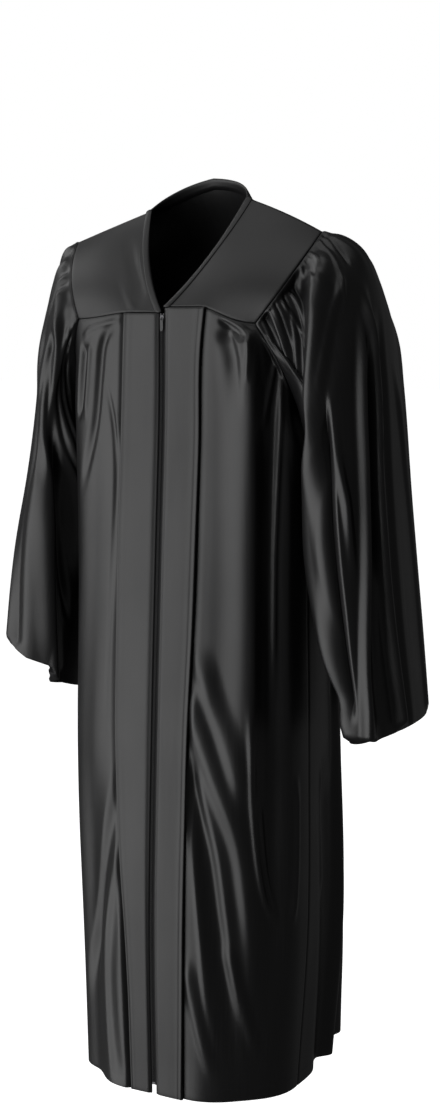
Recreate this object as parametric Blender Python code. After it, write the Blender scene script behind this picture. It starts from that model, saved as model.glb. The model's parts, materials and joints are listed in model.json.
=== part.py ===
"""A zip-front graduation gown with bell sleeves, hollow and open as it hangs on a wearer.

Metres, +Z up. The origin is midway between the two ends of the shoulder seams at the neck,
where the wearer's shoulders carry the gown. The front faces -Y and the wearer's left is +X.
Each cloth panel is a wall between an outer grid of points and the same grid moved inwards.
"""

import math
from collections import namedtuple

import bmesh
import bpy
import numpy as np
from mathutils import Matrix

# Cloth and seams
WALL = 0.0018
SEAM_GAP = 0.0003
BAND_STEP = WALL + 2 * SEAM_GAP

# Shoulders, neck and armholes. x is measured away from the centre on both sides, and a bend
# is the point that a curve leans towards. The wearer's right shoulder hangs a little lower.
Shoulder = namedtuple(
    "Shoulder",
    "side neck tip seam_bend front_neck_bend back_neck_bend yoke_z corner_deg corner_z "
    "front_armhole_bend back_armhole_bend",
)
LEFT_SHOULDER = Shoulder(
    side=1,
    neck=(0.082, 0.009, 0.005),
    tip=(0.209, 0.000, -0.047),
    seam_bend=(0.148, 0.006, -0.016),
    front_neck_bend=(0.058, -0.057, -0.090),
    back_neck_bend=(0.062, 0.052, 0.033),
    yoke_z=-0.1545,
    corner_deg=60.0,
    corner_z=-0.178,
    front_armhole_bend=(0.206, -0.090, -0.112),
    back_armhole_bend=(0.200, 0.088, -0.095),
)
RIGHT_SHOULDER = Shoulder(
    side=-1,
    neck=(0.082, 0.009, -0.010),
    tip=(0.207, 0.000, -0.054),
    seam_bend=(0.145, 0.006, -0.031),
    front_neck_bend=(0.058, -0.057, -0.095),
    back_neck_bend=(0.064, 0.052, 0.024),
    yoke_z=-0.1625,
    corner_deg=63.0,
    corner_z=-0.172,
    front_armhole_bend=(0.182, -0.080, -0.105),
    back_armhole_bend=(0.200, 0.088, -0.095),
)
BACK_NECK_CENTRE = (0.0, 0.054, 0.036)
SHOULDER_UP = (0.36, 0.0, 0.93)
BACK_NECK_OUT = (0.0, 0.95, 0.30)
V_BOTTOM_HALF_GAP = 0.0025

# Yoke seams and armholes, as angles round the body from the centre front
YOKE_SEAM_FLAT_DEG = 32.0
BACK_YOKE_Z = -0.160
BACK_CORNER_DEG = 124.0
SIDE_SEAM_DEG = 90.0
UNDERARM_Z = -0.300
YOKE_BULGE_FRONT = 0.007
YOKE_BULGE_BACK = 0.014
RELAX_PASSES = 12

# Hem and front opening
HEM_Z = -1.331
BACK_HEM_RISE = 0.016
BAND_INNER_HALF_GAP = 0.0042
BAND_LAP = 0.010
BandEdge = namedtuple("BandEdge", "z left right")
BAND_EDGES = (
    BandEdge(z=-0.154, left=0.070, right=0.064),
    BandEdge(z=-0.210, left=0.064, right=0.066),
    BandEdge(z=-0.360, left=0.063, right=0.070),
    BandEdge(z=-0.590, left=0.061, right=0.072),
    BandEdge(z=-0.770, left=0.056, right=0.070),
    BandEdge(z=-0.930, left=0.054, right=0.061),
    BandEdge(z=-1.090, left=0.053, right=0.045),
    BandEdge(z=-1.325, left=0.048, right=0.038),
)

# Mesh resolution
BODY_ROWS = 14
FRONT_SEAM_COLUMNS = 9
ARMHOLE_COLUMNS = 8
BACK_SEAM_COLUMNS = 22
BAND_COLUMNS = 3
ARMHOLE_SEGMENTS = 13
SLEEVE_ROWS = 11

# Horizontal rings of the body: half width and depths from the origin's vertical line
Ring = namedtuple("Ring", "z left right front back squareness")
BODY_RINGS = (
    Ring(z=-0.155, left=0.213, right=0.213, front=0.097, back=0.118, squareness=2.9),
    Ring(z=-0.300, left=0.194, right=0.194, front=0.099, back=0.138, squareness=2.8),
    Ring(z=-0.500, left=0.189, right=0.185, front=0.110, back=0.168, squareness=2.6),
    Ring(z=-0.830, left=0.193, right=0.182, front=0.127, back=0.206, squareness=2.6),
    Ring(z=-1.080, left=0.193, right=0.172, front=0.135, back=0.234, squareness=2.7),
    Ring(z=-1.331, left=0.177, right=0.167, front=0.130, back=0.252, squareness=2.7),
)

# Folds of the body: a ridge (height above 0) or a trough, from z_top down to z_end
Fold = namedtuple("Fold", "z_top z_end deg_top deg_end width_deg height")
BODY_FOLDS = (
    Fold(z_top=-0.17, z_end=-1.40, deg_top=52, deg_end=54, width_deg=7, height=0.006),
    Fold(z_top=-0.19, z_end=-1.40, deg_top=64, deg_end=66, width_deg=7, height=-0.007),
    Fold(z_top=-0.60, z_end=-1.45, deg_top=29, deg_end=50, width_deg=7, height=0.007),
    Fold(z_top=-0.66, z_end=-1.45, deg_top=30, deg_end=38, width_deg=7, height=-0.006),
    Fold(z_top=-0.20, z_end=-0.70, deg_top=-52, deg_end=-46, width_deg=7, height=-0.005),
    Fold(z_top=-0.22, z_end=-1.40, deg_top=-66, deg_end=-62, width_deg=8, height=0.005),
    Fold(z_top=-0.70, z_end=-1.45, deg_top=-36, deg_end=-52, width_deg=7, height=0.006),
    Fold(z_top=-0.80, z_end=-1.45, deg_top=108, deg_end=120, width_deg=14, height=-0.014),
    Fold(z_top=-0.55, z_end=-1.45, deg_top=-96, deg_end=-100, width_deg=10, height=-0.010),
)
BACK_FLUTES = 8
BACK_FLUTE_HEIGHT = 0.009
BACK_FLUTE_HALF_SPAN_DEG = 78
FOLD_RADIUS = 0.110

# Sleeve rings for each side, wearer's left measured at +X: the point over the arm (outer),
# the point under it (inner), and the ring's middle and half depth from front to back
SleeveRing = namedtuple("SleeveRing", "along outer_x outer_z inner_x inner_z mid_y half_depth tilt")
LEFT_SLEEVE = (
    SleeveRing(0.00, 0.209, -0.047, 0.1945, -0.300, 0.000, 0.104, 0.000),
    SleeveRing(0.05, 0.238, -0.053, 0.2010, -0.320, 0.004, 0.110, 0.000),
    SleeveRing(0.11, 0.268, -0.075, 0.2030, -0.345, 0.008, 0.110, 0.000),
    SleeveRing(0.20, 0.291, -0.140, 0.2040, -0.378, 0.016, 0.108, 0.000),
    SleeveRing(0.33, 0.302, -0.240, 0.2040, -0.430, 0.024, 0.109, 0.000),
    SleeveRing(0.54, 0.312, -0.410, 0.2050, -0.530, 0.034, 0.116, 0.000),
    SleeveRing(0.77, 0.324, -0.590, 0.2250, -0.645, 0.045, 0.116, 0.004),
    SleeveRing(1.00, 0.341, -0.758, 0.2550, -0.780, 0.052, 0.100, 0.006),
)
RIGHT_SLEEVE = (
    SleeveRing(0.00, 0.207, -0.054, 0.1945, -0.300, 0.000, 0.104, 0.000),
    SleeveRing(0.05, 0.227, -0.062, 0.2010, -0.320, 0.002, 0.106, 0.000),
    SleeveRing(0.11, 0.241, -0.094, 0.2030, -0.345, 0.006, 0.103, 0.000),
    SleeveRing(0.20, 0.251, -0.150, 0.2040, -0.378, 0.012, 0.099, 0.000),
    SleeveRing(0.33, 0.257, -0.240, 0.2040, -0.425, 0.020, 0.098, -0.004),
    SleeveRing(0.54, 0.274, -0.400, 0.2060, -0.520, 0.025, 0.108, -0.014),
    SleeveRing(0.77, 0.302, -0.545, 0.2200, -0.630, 0.030, 0.112, -0.030),
    SleeveRing(1.00, 0.331, -0.682, 0.2400, -0.752, 0.035, 0.105, -0.040),
)
UNDERARM_IN = (-0.8, 0.0, -0.6)

# Gathers at the sleeve head, and the sleeve's long folds by angle from the outer point
HEAD_GATHERS = 14
HEAD_GATHER_HEIGHT = 0.0045
HEAD_GATHER_END = 0.34
SleeveFold = namedtuple("SleeveFold", "start end deg_start deg_end width_deg height")
SLEEVE_FOLDS = (
    SleeveFold(0.08, 1.2, 20, 28, 16, 0.006),
    SleeveFold(0.10, 1.2, 46, 52, 14, -0.008),
    SleeveFold(0.05, 1.2, 72, 66, 14, 0.007),
    SleeveFold(0.12, 1.2, 98, 92, 12, -0.006),
    SleeveFold(0.10, 1.2, 226, 228, 14, -0.006),
    SleeveFold(0.08, 1.2, 258, 256, 14, 0.008),
    SleeveFold(0.10, 1.2, 290, 288, 14, -0.008),
    SleeveFold(0.08, 1.2, 322, 320, 14, 0.006),
)

# Zip: tapes behind the bands, the closed chain, the slider and its pull tab
TAPE_THICKNESS = 0.0010
TAPE_INNER_X = 0.0030
TAPE_OUTER_X = 0.0150
TAPE_TOP_Z = -0.1640
ZIP_END_Z = -1.318
CHAIN_WIDTH = 0.0050
CHAIN_THICKNESS = 0.0016
SLIDER_TOP_Z = -0.1660
SLIDER_WIDTH = 0.0074
SLIDER_LENGTH = 0.0095
SLIDER_PLATE = 0.0011
POST_WIDTH = 0.0020
POST_LENGTH = 0.0015
BAIL_WIDTH = 0.0012
BAIL_HEIGHT = 0.0026
BAIL_OPENING = 0.0009
BAIL_BAR = 0.0008
HINGE_OFFSET = 0.0010
TAB_LENGTH = 0.0190
TAB_WIDTH = 0.0050
TAB_THICKNESS = 0.0007
TAB_WINDOW_WIDTH = 0.0022
TAB_WINDOW_LENGTH = 0.0026

# Colours
SATIN_BLACK = (0.012, 0.012, 0.013, 1.0)
TAPE_BLACK = (0.010, 0.010, 0.011, 1.0)
ZIP_METAL = (0.50, 0.50, 0.52, 1.0)


def smoothstep(low, high, value):
    """0 below low, 1 above high, and an even S between them."""
    share = np.clip((np.asarray(value, float) - low) / (high - low), 0.0, 1.0)
    return share * share * (3 - 2 * share)


def unit(vectors):
    vectors = np.asarray(vectors, float)
    return vectors / np.linalg.norm(vectors, axis=-1, keepdims=True)


def table_value(rows, key, column, at):
    """A smooth curve through one column of a table, read where the key column is at."""
    keys = np.array([getattr(row, key) for row in rows])
    values = np.array([getattr(row, column) for row in rows])
    if keys[0] > keys[-1]:
        keys, values = keys[::-1], values[::-1]
    slopes = np.gradient(values, keys)
    at = np.clip(np.asarray(at, float), keys[0], keys[-1])
    index = np.clip(np.searchsorted(keys, at) - 1, 0, len(keys) - 2)
    span = keys[index + 1] - keys[index]
    share = (at - keys[index]) / span
    rise = values[index + 1] - values[index]
    start, end = slopes[index] * span, slopes[index + 1] * span
    return values[index] + share * (
        start + share * (3 * rise - 2 * start - end + share * (start + end - 2 * rise))
    )


def bend(start, control, end, share):
    """Points on the curve from start to end that leans towards control."""
    share = np.asarray(share, float)[..., None]
    start, control, end = (np.asarray(p, float) for p in (start, control, end))
    return (1 - share) ** 2 * start + 2 * share * (1 - share) * control + share**2 * end


def ridge(distance, half_width):
    """A soft ridge: 1 in the middle, 0 at half_width on each side."""
    share = np.clip(np.abs(distance) / half_width, 0.0, 1.0)
    return (0.5 + 0.5 * np.cos(math.pi * share)) ** 1.3


def on_side(points, side):
    """The same points on the wearer's left (side 1) or right (side -1)."""
    return np.asarray(points, float) * (side, 1.0, 1.0)


def top_edge_z(degrees):
    """Height of the body's upper edge: yoke seams at front and back, armholes between."""
    on_left = np.asarray(degrees) > 0
    left, right = LEFT_SHOULDER, RIGHT_SHOULDER
    middle_z = np.where(on_left, left.yoke_z, right.yoke_z)
    corner_z = np.where(on_left, left.corner_z, right.corner_z)
    corner_deg = np.where(on_left, left.corner_deg, right.corner_deg)
    degrees = np.abs(np.asarray(degrees, float))
    front = middle_z + (corner_z - middle_z) * smoothstep(YOKE_SEAM_FLAT_DEG, corner_deg, degrees)
    front_share = (degrees - corner_deg) / (SIDE_SEAM_DEG - corner_deg)
    back_share = (BACK_CORNER_DEG - degrees) / (BACK_CORNER_DEG - SIDE_SEAM_DEG)
    front_arm = corner_z + (UNDERARM_Z - corner_z) * np.sin(
        math.pi / 2 * np.clip(front_share, 0, 1)
    )
    back_arm = BACK_YOKE_Z + (UNDERARM_Z - BACK_YOKE_Z) * np.sin(
        math.pi / 2 * np.clip(back_share, 0, 1)
    )
    return np.select(
        [degrees < corner_deg, degrees < SIDE_SEAM_DEG, degrees < BACK_CORNER_DEG],
        [front, front_arm, back_arm],
        BACK_YOKE_Z,
    )


def body_fold_height(degrees, z):
    """How far the folds lift the cloth off the plain ring at these places."""
    height = np.zeros(np.broadcast(degrees, z).shape)
    for fold in BODY_FOLDS:
        along = (fold.z_top - z) / (fold.z_top - fold.z_end)
        middle = fold.deg_top + (fold.deg_end - fold.deg_top) * along
        strength = smoothstep(0.0, 0.22, along) * (1 - smoothstep(0.9, 1.0, along))
        height += fold.height * strength * ridge(degrees - middle, 2 * fold.width_deg)
    from_back = 180.0 - np.abs(degrees)
    flute = np.cos(math.pi * from_back / BACK_FLUTE_HALF_SPAN_DEG * BACK_FLUTES)
    flute_place = 1 - smoothstep(0.8, 1.0, from_back / BACK_FLUTE_HALF_SPAN_DEG)
    flute_depth = BACK_FLUTE_HEIGHT * smoothstep(0.0, 0.12, BACK_YOKE_Z - z)
    height += flute * flute_place * flute_depth
    off_band = np.radians(np.abs(degrees)) * FOLD_RADIUS - band_edge_x(np.sign(degrees), z)
    height *= smoothstep(-BAND_LAP / 2, BAND_LAP, off_band)
    return height * smoothstep(0.0, 0.05, top_edge_z(degrees) - z)


def body_point(degrees, z, folded=True, lift=0.0):
    """Outer points of the body's cloth, and the ring's outward direction there."""
    degrees, z = np.broadcast_arrays(np.asarray(degrees, float), np.asarray(z, float))
    angle = np.radians(degrees)
    left = table_value(BODY_RINGS, "z", "left", z)
    right = table_value(BODY_RINGS, "z", "right", z)
    front = table_value(BODY_RINGS, "z", "front", z)
    back = table_value(BODY_RINGS, "z", "back", z)
    power = table_value(BODY_RINGS, "z", "squareness", z)
    sine, cosine = np.sin(angle), np.cos(angle)
    half_width = np.where(sine > 0, left, right)
    depth = np.where(cosine > 0, front, back)
    radius = (np.abs(sine / half_width) ** power + np.abs(cosine / depth) ** power) ** (-1 / power)
    x, y = radius * sine, -radius * cosine
    out_x = np.sign(x) * np.abs(x) ** (power - 1) / half_width**power
    out_y = np.sign(y) * np.abs(y) ** (power - 1) / depth**power
    out = unit(np.stack([out_x, out_y, np.zeros_like(x)], -1))
    height = lift + (body_fold_height(degrees, z) if folded else 0.0)
    return np.stack([x, y, z], -1) + out * np.asarray(height)[..., None], out


def patch(bottom, top, inner, outer, bulge):
    """A surface filling four edge curves, each with its outward directions.

    bottom and top run from inner to outer. inner and outer run from bottom to top.
    """
    across = np.linspace(0, 1, len(bottom[0]))[None, :, None]
    up = np.linspace(0, 1, len(inner[0]))[:, None, None]
    filled = []
    for b, t, i, o in zip(bottom, top, inner, outer):
        ruled_up = (1 - up) * b[None] + up * t[None]
        ruled_across = (1 - across) * i[:, None] + across * o[:, None]
        corners = (1 - up) * ((1 - across) * b[0] + across * b[-1]) + up * (
            (1 - across) * t[0] + across * t[-1]
        )
        filled.append(ruled_up + ruled_across - corners)
    points, out = relaxed(filled[0]), unit(relaxed(filled[1]))
    rise = bulge * np.sin(math.pi * up) * np.sin(math.pi * np.clip(across, 0, 1)) ** 0.5
    return points + out * rise, out


def relaxed(grid):
    """The grid with its inside eased between its four fixed edges, as cloth evens out a kink."""
    grid = grid.copy()
    for _ in range(RELAX_PASSES):
        beside = grid[1:-1, :-2] + grid[1:-1, 2:] + grid[:-2, 1:-1] + grid[2:, 1:-1]
        grid[1:-1, 1:-1] = beside / 4
    return grid


def turned(first, last, count):
    """Directions that turn evenly from first to last."""
    share = np.linspace(0, 1, count)[:, None]
    return unit((1 - share) * np.asarray(first, float) + share * np.asarray(last, float))


def yoke_armhole_edges(shoulder):
    """The edges of front and back yoke along one armhole, from corner to shoulder tip."""
    side = shoulder.side
    share = np.linspace(0, 1, ARMHOLE_SEGMENTS + 1)
    corners = (
        (side * shoulder.corner_deg, shoulder.corner_z, shoulder.front_armhole_bend),
        (side * BACK_CORNER_DEG, BACK_YOKE_Z, shoulder.back_armhole_bend),
    )
    edges = []
    for degrees, z, control in corners:
        corner, out = body_point(degrees, z, folded=False)
        points = bend(corner, on_side(control, side), on_side(shoulder.tip, side), share)
        edges.append((points, turned(out, on_side(SHOULDER_UP, side), ARMHOLE_SEGMENTS + 1)))
    return edges


def front_seam_degrees(shoulder):
    """Where the front panel's columns meet the yoke, from under the band to the corner."""
    seam_z = shoulder.yoke_z
    under_band = front_degrees(band_edge_x(shoulder.side, seam_z) - BAND_LAP, seam_z)
    return np.linspace(under_band, shoulder.corner_deg, FRONT_SEAM_COLUMNS + 1)


def front_yoke_grid(shoulder):
    """Outer points and directions of one front yoke."""
    side = shoulder.side
    panel = front_seam_degrees(shoulder)
    start = front_degrees(V_BOTTOM_HALF_GAP, shoulder.yoke_z)
    degrees = side * np.concatenate([np.linspace(start, panel[0], BAND_COLUMNS + 1), panel[1:]])
    bottom, bottom_out = body_point(
        degrees, top_edge_z(degrees) + SEAM_GAP / 2, folded=False
    )
    share = np.linspace(0, 1, len(degrees))
    seam_shift = (0.0, -SEAM_GAP / 2, 0.0)
    seam = bend(shoulder.neck, shoulder.seam_bend, shoulder.tip, share)
    top = on_side(seam, side) + seam_shift
    upward = on_side(SHOULDER_UP, side)
    top_out = turned(upward, upward, len(degrees))
    up = np.linspace(0, 1, ARMHOLE_SEGMENTS + 1)
    inner = bend(bottom[0], on_side(shoulder.front_neck_bend, side), top[0], up)
    inner_out = turned(bottom_out[0], upward, ARMHOLE_SEGMENTS + 1)
    edge, edge_out = yoke_armhole_edges(shoulder)[0]
    edge = edge + up[:, None] * seam_shift + (1 - up[:, None]) * (0.0, 0.0, SEAM_GAP / 2)
    sides = (inner, inner_out), (edge, edge_out)
    return patch((bottom, bottom_out), (top, top_out), *sides, YOKE_BULGE_FRONT)


def back_seam_degrees():
    """Where the back panel's columns meet the back yoke."""
    return np.linspace(BACK_CORNER_DEG, 360.0 - BACK_CORNER_DEG, BACK_SEAM_COLUMNS + 1)


def back_yoke_grid():
    """Outer points and directions of the whole back yoke, from wearer's left to right."""
    degrees = back_seam_degrees()
    seam_z = np.full_like(degrees, BACK_YOKE_Z + SEAM_GAP / 2)
    bottom = body_point(degrees, seam_z, folded=False)
    half = BACK_SEAM_COLUMNS // 2
    seam_columns = half // 2
    seam_share = np.linspace(0, 1, seam_columns + 1)
    neck_share = np.linspace(0, 1, half - seam_columns + 1)
    up = np.linspace(0, 1, ARMHOLE_SEGMENTS + 1)[:, None]
    seam_shift = np.array((0.0, SEAM_GAP / 2, 0.0))
    tops, outs, sides = [], [], []
    for shoulder in (LEFT_SHOULDER, RIGHT_SHOULDER):
        seam = bend(shoulder.tip, shoulder.seam_bend, shoulder.neck, seam_share)
        neck = bend(shoulder.neck, shoulder.back_neck_bend, BACK_NECK_CENTRE, neck_share)
        tops.append(on_side(np.concatenate([seam[:-1], neck]), shoulder.side) + seam_shift)
        turn = turned(SHOULDER_UP, BACK_NECK_OUT, len(neck))
        flat = turned(SHOULDER_UP, SHOULDER_UP, seam_columns)
        outs.append(on_side(np.concatenate([flat, turn]), shoulder.side))
        edge, edge_out = yoke_armhole_edges(shoulder)[1]
        sides.append((edge + up * seam_shift + (1 - up) * (0.0, 0.0, SEAM_GAP / 2), edge_out))
    top = np.concatenate([tops[0], tops[1][-2::-1]])
    top_out = np.concatenate([outs[0], outs[1][-2::-1]])
    return patch(bottom, (top, top_out), *sides, YOKE_BULGE_BACK)


def armhole_loop(shoulder):
    """One armhole, round from the shoulder tip by the front, and directions for the sleeve."""
    side = shoulder.side
    (front, front_out), (back, back_out) = yoke_armhole_edges(shoulder)
    share = np.linspace(0, 1, ARMHOLE_COLUMNS + 1)
    down = side * (shoulder.corner_deg + (SIDE_SEAM_DEG - shoulder.corner_deg) * share)
    up = side * (SIDE_SEAM_DEG + (BACK_CORNER_DEG - SIDE_SEAM_DEG) * share)
    lower_front = body_point(down, top_edge_z(down), folded=False)[0]
    lower_back = body_point(up, top_edge_z(up), folded=False)[0]
    points = np.concatenate([front[::-1], lower_front[1:], lower_back[1:], back[1:-1]])
    underarm = on_side(UNDERARM_IN, side)
    out = np.concatenate(
        [
            front_out[::-1],
            turned(front_out[0], underarm, ARMHOLE_COLUMNS + 1)[1:],
            turned(underarm, back_out[0], ARMHOLE_COLUMNS + 1)[1:],
            back_out[1:-1],
        ]
    )
    return points + (side * SEAM_GAP, 0.0, 0.0), out


def sleeve_fold_height(along, degrees):
    """How far gathers and folds lift the sleeve's cloth."""
    fade = smoothstep(0.0, 0.12, along)
    underarm = smoothstep(40.0, 80.0, np.abs(degrees - 180.0))
    gathers = np.cos(np.radians(degrees) * HEAD_GATHERS) * HEAD_GATHER_HEIGHT
    height = gathers * underarm * (1 - smoothstep(0.08, HEAD_GATHER_END, along))
    for fold in SLEEVE_FOLDS:
        share = (along - fold.start) / (fold.end - fold.start)
        middle = fold.deg_start + (fold.deg_end - fold.deg_start) * share
        height = height + fold.height * smoothstep(0.0, 0.3, share) * ridge(
            degrees - middle, 1.4 * fold.width_deg
        )
    return height * fade


def surface_out(points):
    """Outward directions square to a grid that is closed round its columns."""
    across = np.roll(points, -1, axis=1) - np.roll(points, 1, axis=1)
    return unit(np.cross(across, np.gradient(points, axis=0)))


def sleeve_grid(rings, shoulder):
    """Outer points and directions of a sleeve, closed round its columns."""
    side = shoulder.side
    loop, loop_out = (on_side(part, side) for part in armhole_loop(shoulder))
    count = len(loop)
    degrees = np.arange(count) * 360.0 / count
    along = np.linspace(0, 1, SLEEVE_ROWS + 1) ** 1.35
    cosine, sine = np.cos(np.radians(degrees)), np.sin(np.radians(degrees))
    column = {name: table_value(rings, "along", name, along) for name in rings[0]._fields}
    outer = np.stack([column["outer_x"], column["mid_y"], column["outer_z"]], -1)
    inner = np.stack([column["inner_x"], column["mid_y"], column["inner_z"]], -1)
    middle, reach = (outer + inner) / 2, (outer - inner) / 2
    forward = np.stack([0 * along, -column["half_depth"], -column["tilt"]], -1)
    ring = (
        middle[:, None]
        + cosine[None, :, None] * reach[:, None]
        + sine[None, :, None] * forward[:, None]
    )
    nearness = (1 - smoothstep(0.0, 0.30, along))[:, None, None]
    points = ring + (loop - ring[0])[None] * nearness
    head = (1 - smoothstep(0.0, 0.12, along))[:, None, None]
    out = unit(surface_out(points) * (1 - head) + loop_out[None] * head)
    height = sleeve_fold_height(along[:, None], degrees[None, :])
    return on_side(points + out * height[..., None], side), on_side(out, side)


def band_edge_x(side, z):
    """Distance of a band's outer edge from the centre front."""
    left = table_value(BAND_EDGES, "z", "left", z)
    right = table_value(BAND_EDGES, "z", "right", z)
    return np.where(np.asarray(side) > 0, left, right)


def front_degrees(x, z):
    """Angle round the body of a point that far from the centre front."""
    return np.degrees(np.arctan2(x, table_value(BODY_RINGS, "z", "front", z)))


def body_rows(top_z, degrees):
    """Heights down each column, from just under the upper edge to the hem."""
    share = np.linspace(0, 1, BODY_ROWS + 1)[:, None] ** 1.25
    start = top_z - SEAM_GAP / 2
    hem = HEM_Z + BACK_HEM_RISE * smoothstep(SIDE_SEAM_DEG, 1.8 * SIDE_SEAM_DEG, np.abs(degrees))
    return start + share * (hem - start)


def front_grid(shoulder):
    """Outer points and directions of a front panel."""
    side = shoulder.side
    side_limit = SIDE_SEAM_DEG - math.degrees(SEAM_GAP / 2 / BODY_RINGS[1].left)
    seam = front_seam_degrees(shoulder)
    arm = np.linspace(shoulder.corner_deg, side_limit, ARMHOLE_COLUMNS + 1)[1:]
    top_deg = np.concatenate([seam, arm])
    z = body_rows(top_edge_z(side * top_deg), top_deg)
    start = front_degrees(band_edge_x(side, z) - BAND_LAP, z)
    seam_share = np.linspace(0, 1, FRONT_SEAM_COLUMNS + 1)
    lean = (start - seam[0]) * np.concatenate([1 - seam_share, np.zeros(ARMHOLE_COLUMNS)])
    return body_point(side * (top_deg[None, :] + lean), z)


def back_grid():
    """Outer points and directions of the back panel, from the wearer's left to the right."""
    side_limit = SIDE_SEAM_DEG + math.degrees(SEAM_GAP / 2 / BODY_RINGS[1].left)
    arm = np.linspace(side_limit, BACK_CORNER_DEG, ARMHOLE_COLUMNS + 1)
    degrees = np.concatenate([arm[:-1], back_seam_degrees(), 360.0 - arm[-2::-1]])
    signed = np.where(degrees > 180.0, degrees - 360.0, degrees)
    z = body_rows(top_edge_z(signed), signed)
    return body_point(np.broadcast_to(signed[None, :], z.shape), z)


def band_grid(shoulder):
    """A front band, lying one layer in front of the panel it covers the edge of."""
    side = shoulder.side
    z = body_rows(np.full(BAND_COLUMNS + 1, shoulder.yoke_z - SEAM_GAP / 2), 0.0)
    share = np.linspace(0, 1, BAND_COLUMNS + 1)[None, :]
    x = BAND_INNER_HALF_GAP + (band_edge_x(side, z) - BAND_INNER_HALF_GAP) * share
    return body_point(side * front_degrees(x, z), z, folded=False, lift=BAND_STEP)


def zip_grid(inner_x, outer_x, top_z, end_z):
    """A strip of the zip down the centre front, with a band's heights as its rows."""
    rows = body_rows(np.array([LEFT_SHOULDER.yoke_z - SEAM_GAP / 2]), 0.0)[:, 0]
    z = np.array([top_z, *(row for row in rows if end_z < row < top_z), end_z])[:, None]
    x = np.broadcast_to(np.array([[inner_x, outer_x]]), (len(z), 2))
    return body_point(front_degrees(x, z), np.broadcast_to(z, x.shape), folded=False)


def wall_object(name, grid, thickness, material, closed=False):
    """A cloth wall: the outer grid, the grid moved inwards, and rims along the open edges."""
    points, out = grid
    inside = points - out * thickness
    rows, columns = points.shape[:2]
    shell = bmesh.new()
    layers = [
        [[shell.verts.new(p) for p in row] for row in layer] for layer in (points, inside)
    ]
    spans = columns if closed else columns - 1
    for index, layer in enumerate(layers):
        for r in range(rows - 1):
            for c in range(spans):
                n = (c + 1) % columns
                face = [layer[r][c], layer[r][n], layer[r + 1][n], layer[r + 1][c]]
                shell.faces.new(face if index else face[::-1])
    outer, inner = layers
    for r in (0, rows - 1):
        for c in range(spans):
            n = (c + 1) % columns
            shell.faces.new([outer[r][c], outer[r][n], inner[r][n], inner[r][c]])
    if not closed:
        for c in (0, columns - 1):
            for r in range(rows - 1):
                shell.faces.new([outer[r][c], outer[r + 1][c], inner[r + 1][c], inner[r][c]])
    bmesh.ops.recalc_face_normals(shell, faces=shell.faces)
    mesh = bpy.data.meshes.new(name)
    shell.to_mesh(mesh)
    shell.free()
    mesh.shade_smooth()
    return add_object(name, mesh, material)


def add_object(name, mesh, material):
    obj = bpy.data.objects.new(name, mesh)
    mesh.materials.append(material)
    gown.objects.link(obj)
    return obj


def make_material(name, colour, roughness, metallic=0.0):
    material = bpy.data.materials.new(name)
    material.use_nodes = True
    surface = material.node_tree.nodes["Principled BSDF"]
    surface.inputs["Base Color"].default_value = colour
    surface.inputs["Roughness"].default_value = roughness
    surface.inputs["Metallic"].default_value = metallic
    return material


def block(name, size, centre):
    """A box of this size round a centre, as a bare mesh."""
    shell = bmesh.new()
    place = Matrix.Translation(centre) @ Matrix.Diagonal((*size, 1.0))
    bmesh.ops.create_cube(shell, size=1.0, matrix=place)
    mesh = bpy.data.meshes.new(name)
    shell.to_mesh(mesh)
    shell.free()
    return mesh


def combine(obj, operation, name, size, centre):
    """Joins a box to an object, or cuts it out."""
    helper = bpy.data.objects.new(name, block(name, size, centre))
    helper.hide_render = True
    cutters.objects.link(helper)
    boolean = obj.modifiers.new(name, "BOOLEAN")
    boolean.operation = operation
    boolean.solver = "EXACT"
    boolean.object = helper


def remove_startup_objects():
    for obj in list(bpy.data.objects):
        bpy.data.objects.remove(obj)


def make_tapes_and_chain(tape_cloth):
    """Two tapes and the closed chain behind the bands."""
    for name, side in (("zip_tape_left", 1), ("zip_tape_right", -1)):
        grid = zip_grid(side * TAPE_INNER_X, side * TAPE_OUTER_X, TAPE_TOP_Z, ZIP_END_Z)
        wall_object(name, grid, TAPE_THICKNESS, tape_cloth)
    chain_top = SLIDER_TOP_Z - POST_LENGTH - 2 * SEAM_GAP
    grid = zip_grid(-CHAIN_WIDTH / 2, CHAIN_WIDTH / 2, chain_top, ZIP_END_Z)
    wall_object("zip_chain", grid, CHAIN_THICKNESS, tape_cloth)


def make_slider(metal):
    """Front and back plate, the post between them and the bail that holds the pull tab."""
    middle_z = SLIDER_TOP_Z - SLIDER_LENGTH / 2
    cloth_y = -float(table_value(BODY_RINGS, "z", "front", middle_z))
    front_y = cloth_y - 2 * SEAM_GAP - SLIDER_PLATE
    back_y = cloth_y + CHAIN_THICKNESS + 2 * SEAM_GAP
    plate = (SLIDER_WIDTH, SLIDER_PLATE, SLIDER_LENGTH)
    slider = add_object(
        "zip_slider", block("zip_slider", plate, (0, front_y + SLIDER_PLATE / 2, middle_z)), metal
    )
    combine(slider, "UNION", "slider_back_plate", plate, (0, back_y + SLIDER_PLATE / 2, middle_z))
    post_depth = back_y - front_y
    post = (POST_WIDTH, post_depth, POST_LENGTH)
    post_centre = (0, (back_y + front_y + SLIDER_PLATE) / 2, SLIDER_TOP_Z - POST_LENGTH / 2)
    combine(slider, "UNION", "slider_post", post, post_centre)
    bail = (BAIL_WIDTH, BAIL_HEIGHT + SLIDER_PLATE / 2, 2 * (BAIL_OPENING + BAIL_BAR))
    bail_y = front_y + SLIDER_PLATE / 2 - bail[1] / 2
    combine(slider, "UNION", "slider_bail", bail, (0, bail_y, middle_z))
    opening_depth = BAIL_HEIGHT - BAIL_BAR
    hole = (2 * BAIL_WIDTH, opening_depth, 2 * BAIL_OPENING)
    combine(slider, "DIFFERENCE", "slider_bail_hole", hole, (0, front_y - opening_depth / 2, middle_z))
    return front_y - HINGE_OFFSET, middle_z


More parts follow.
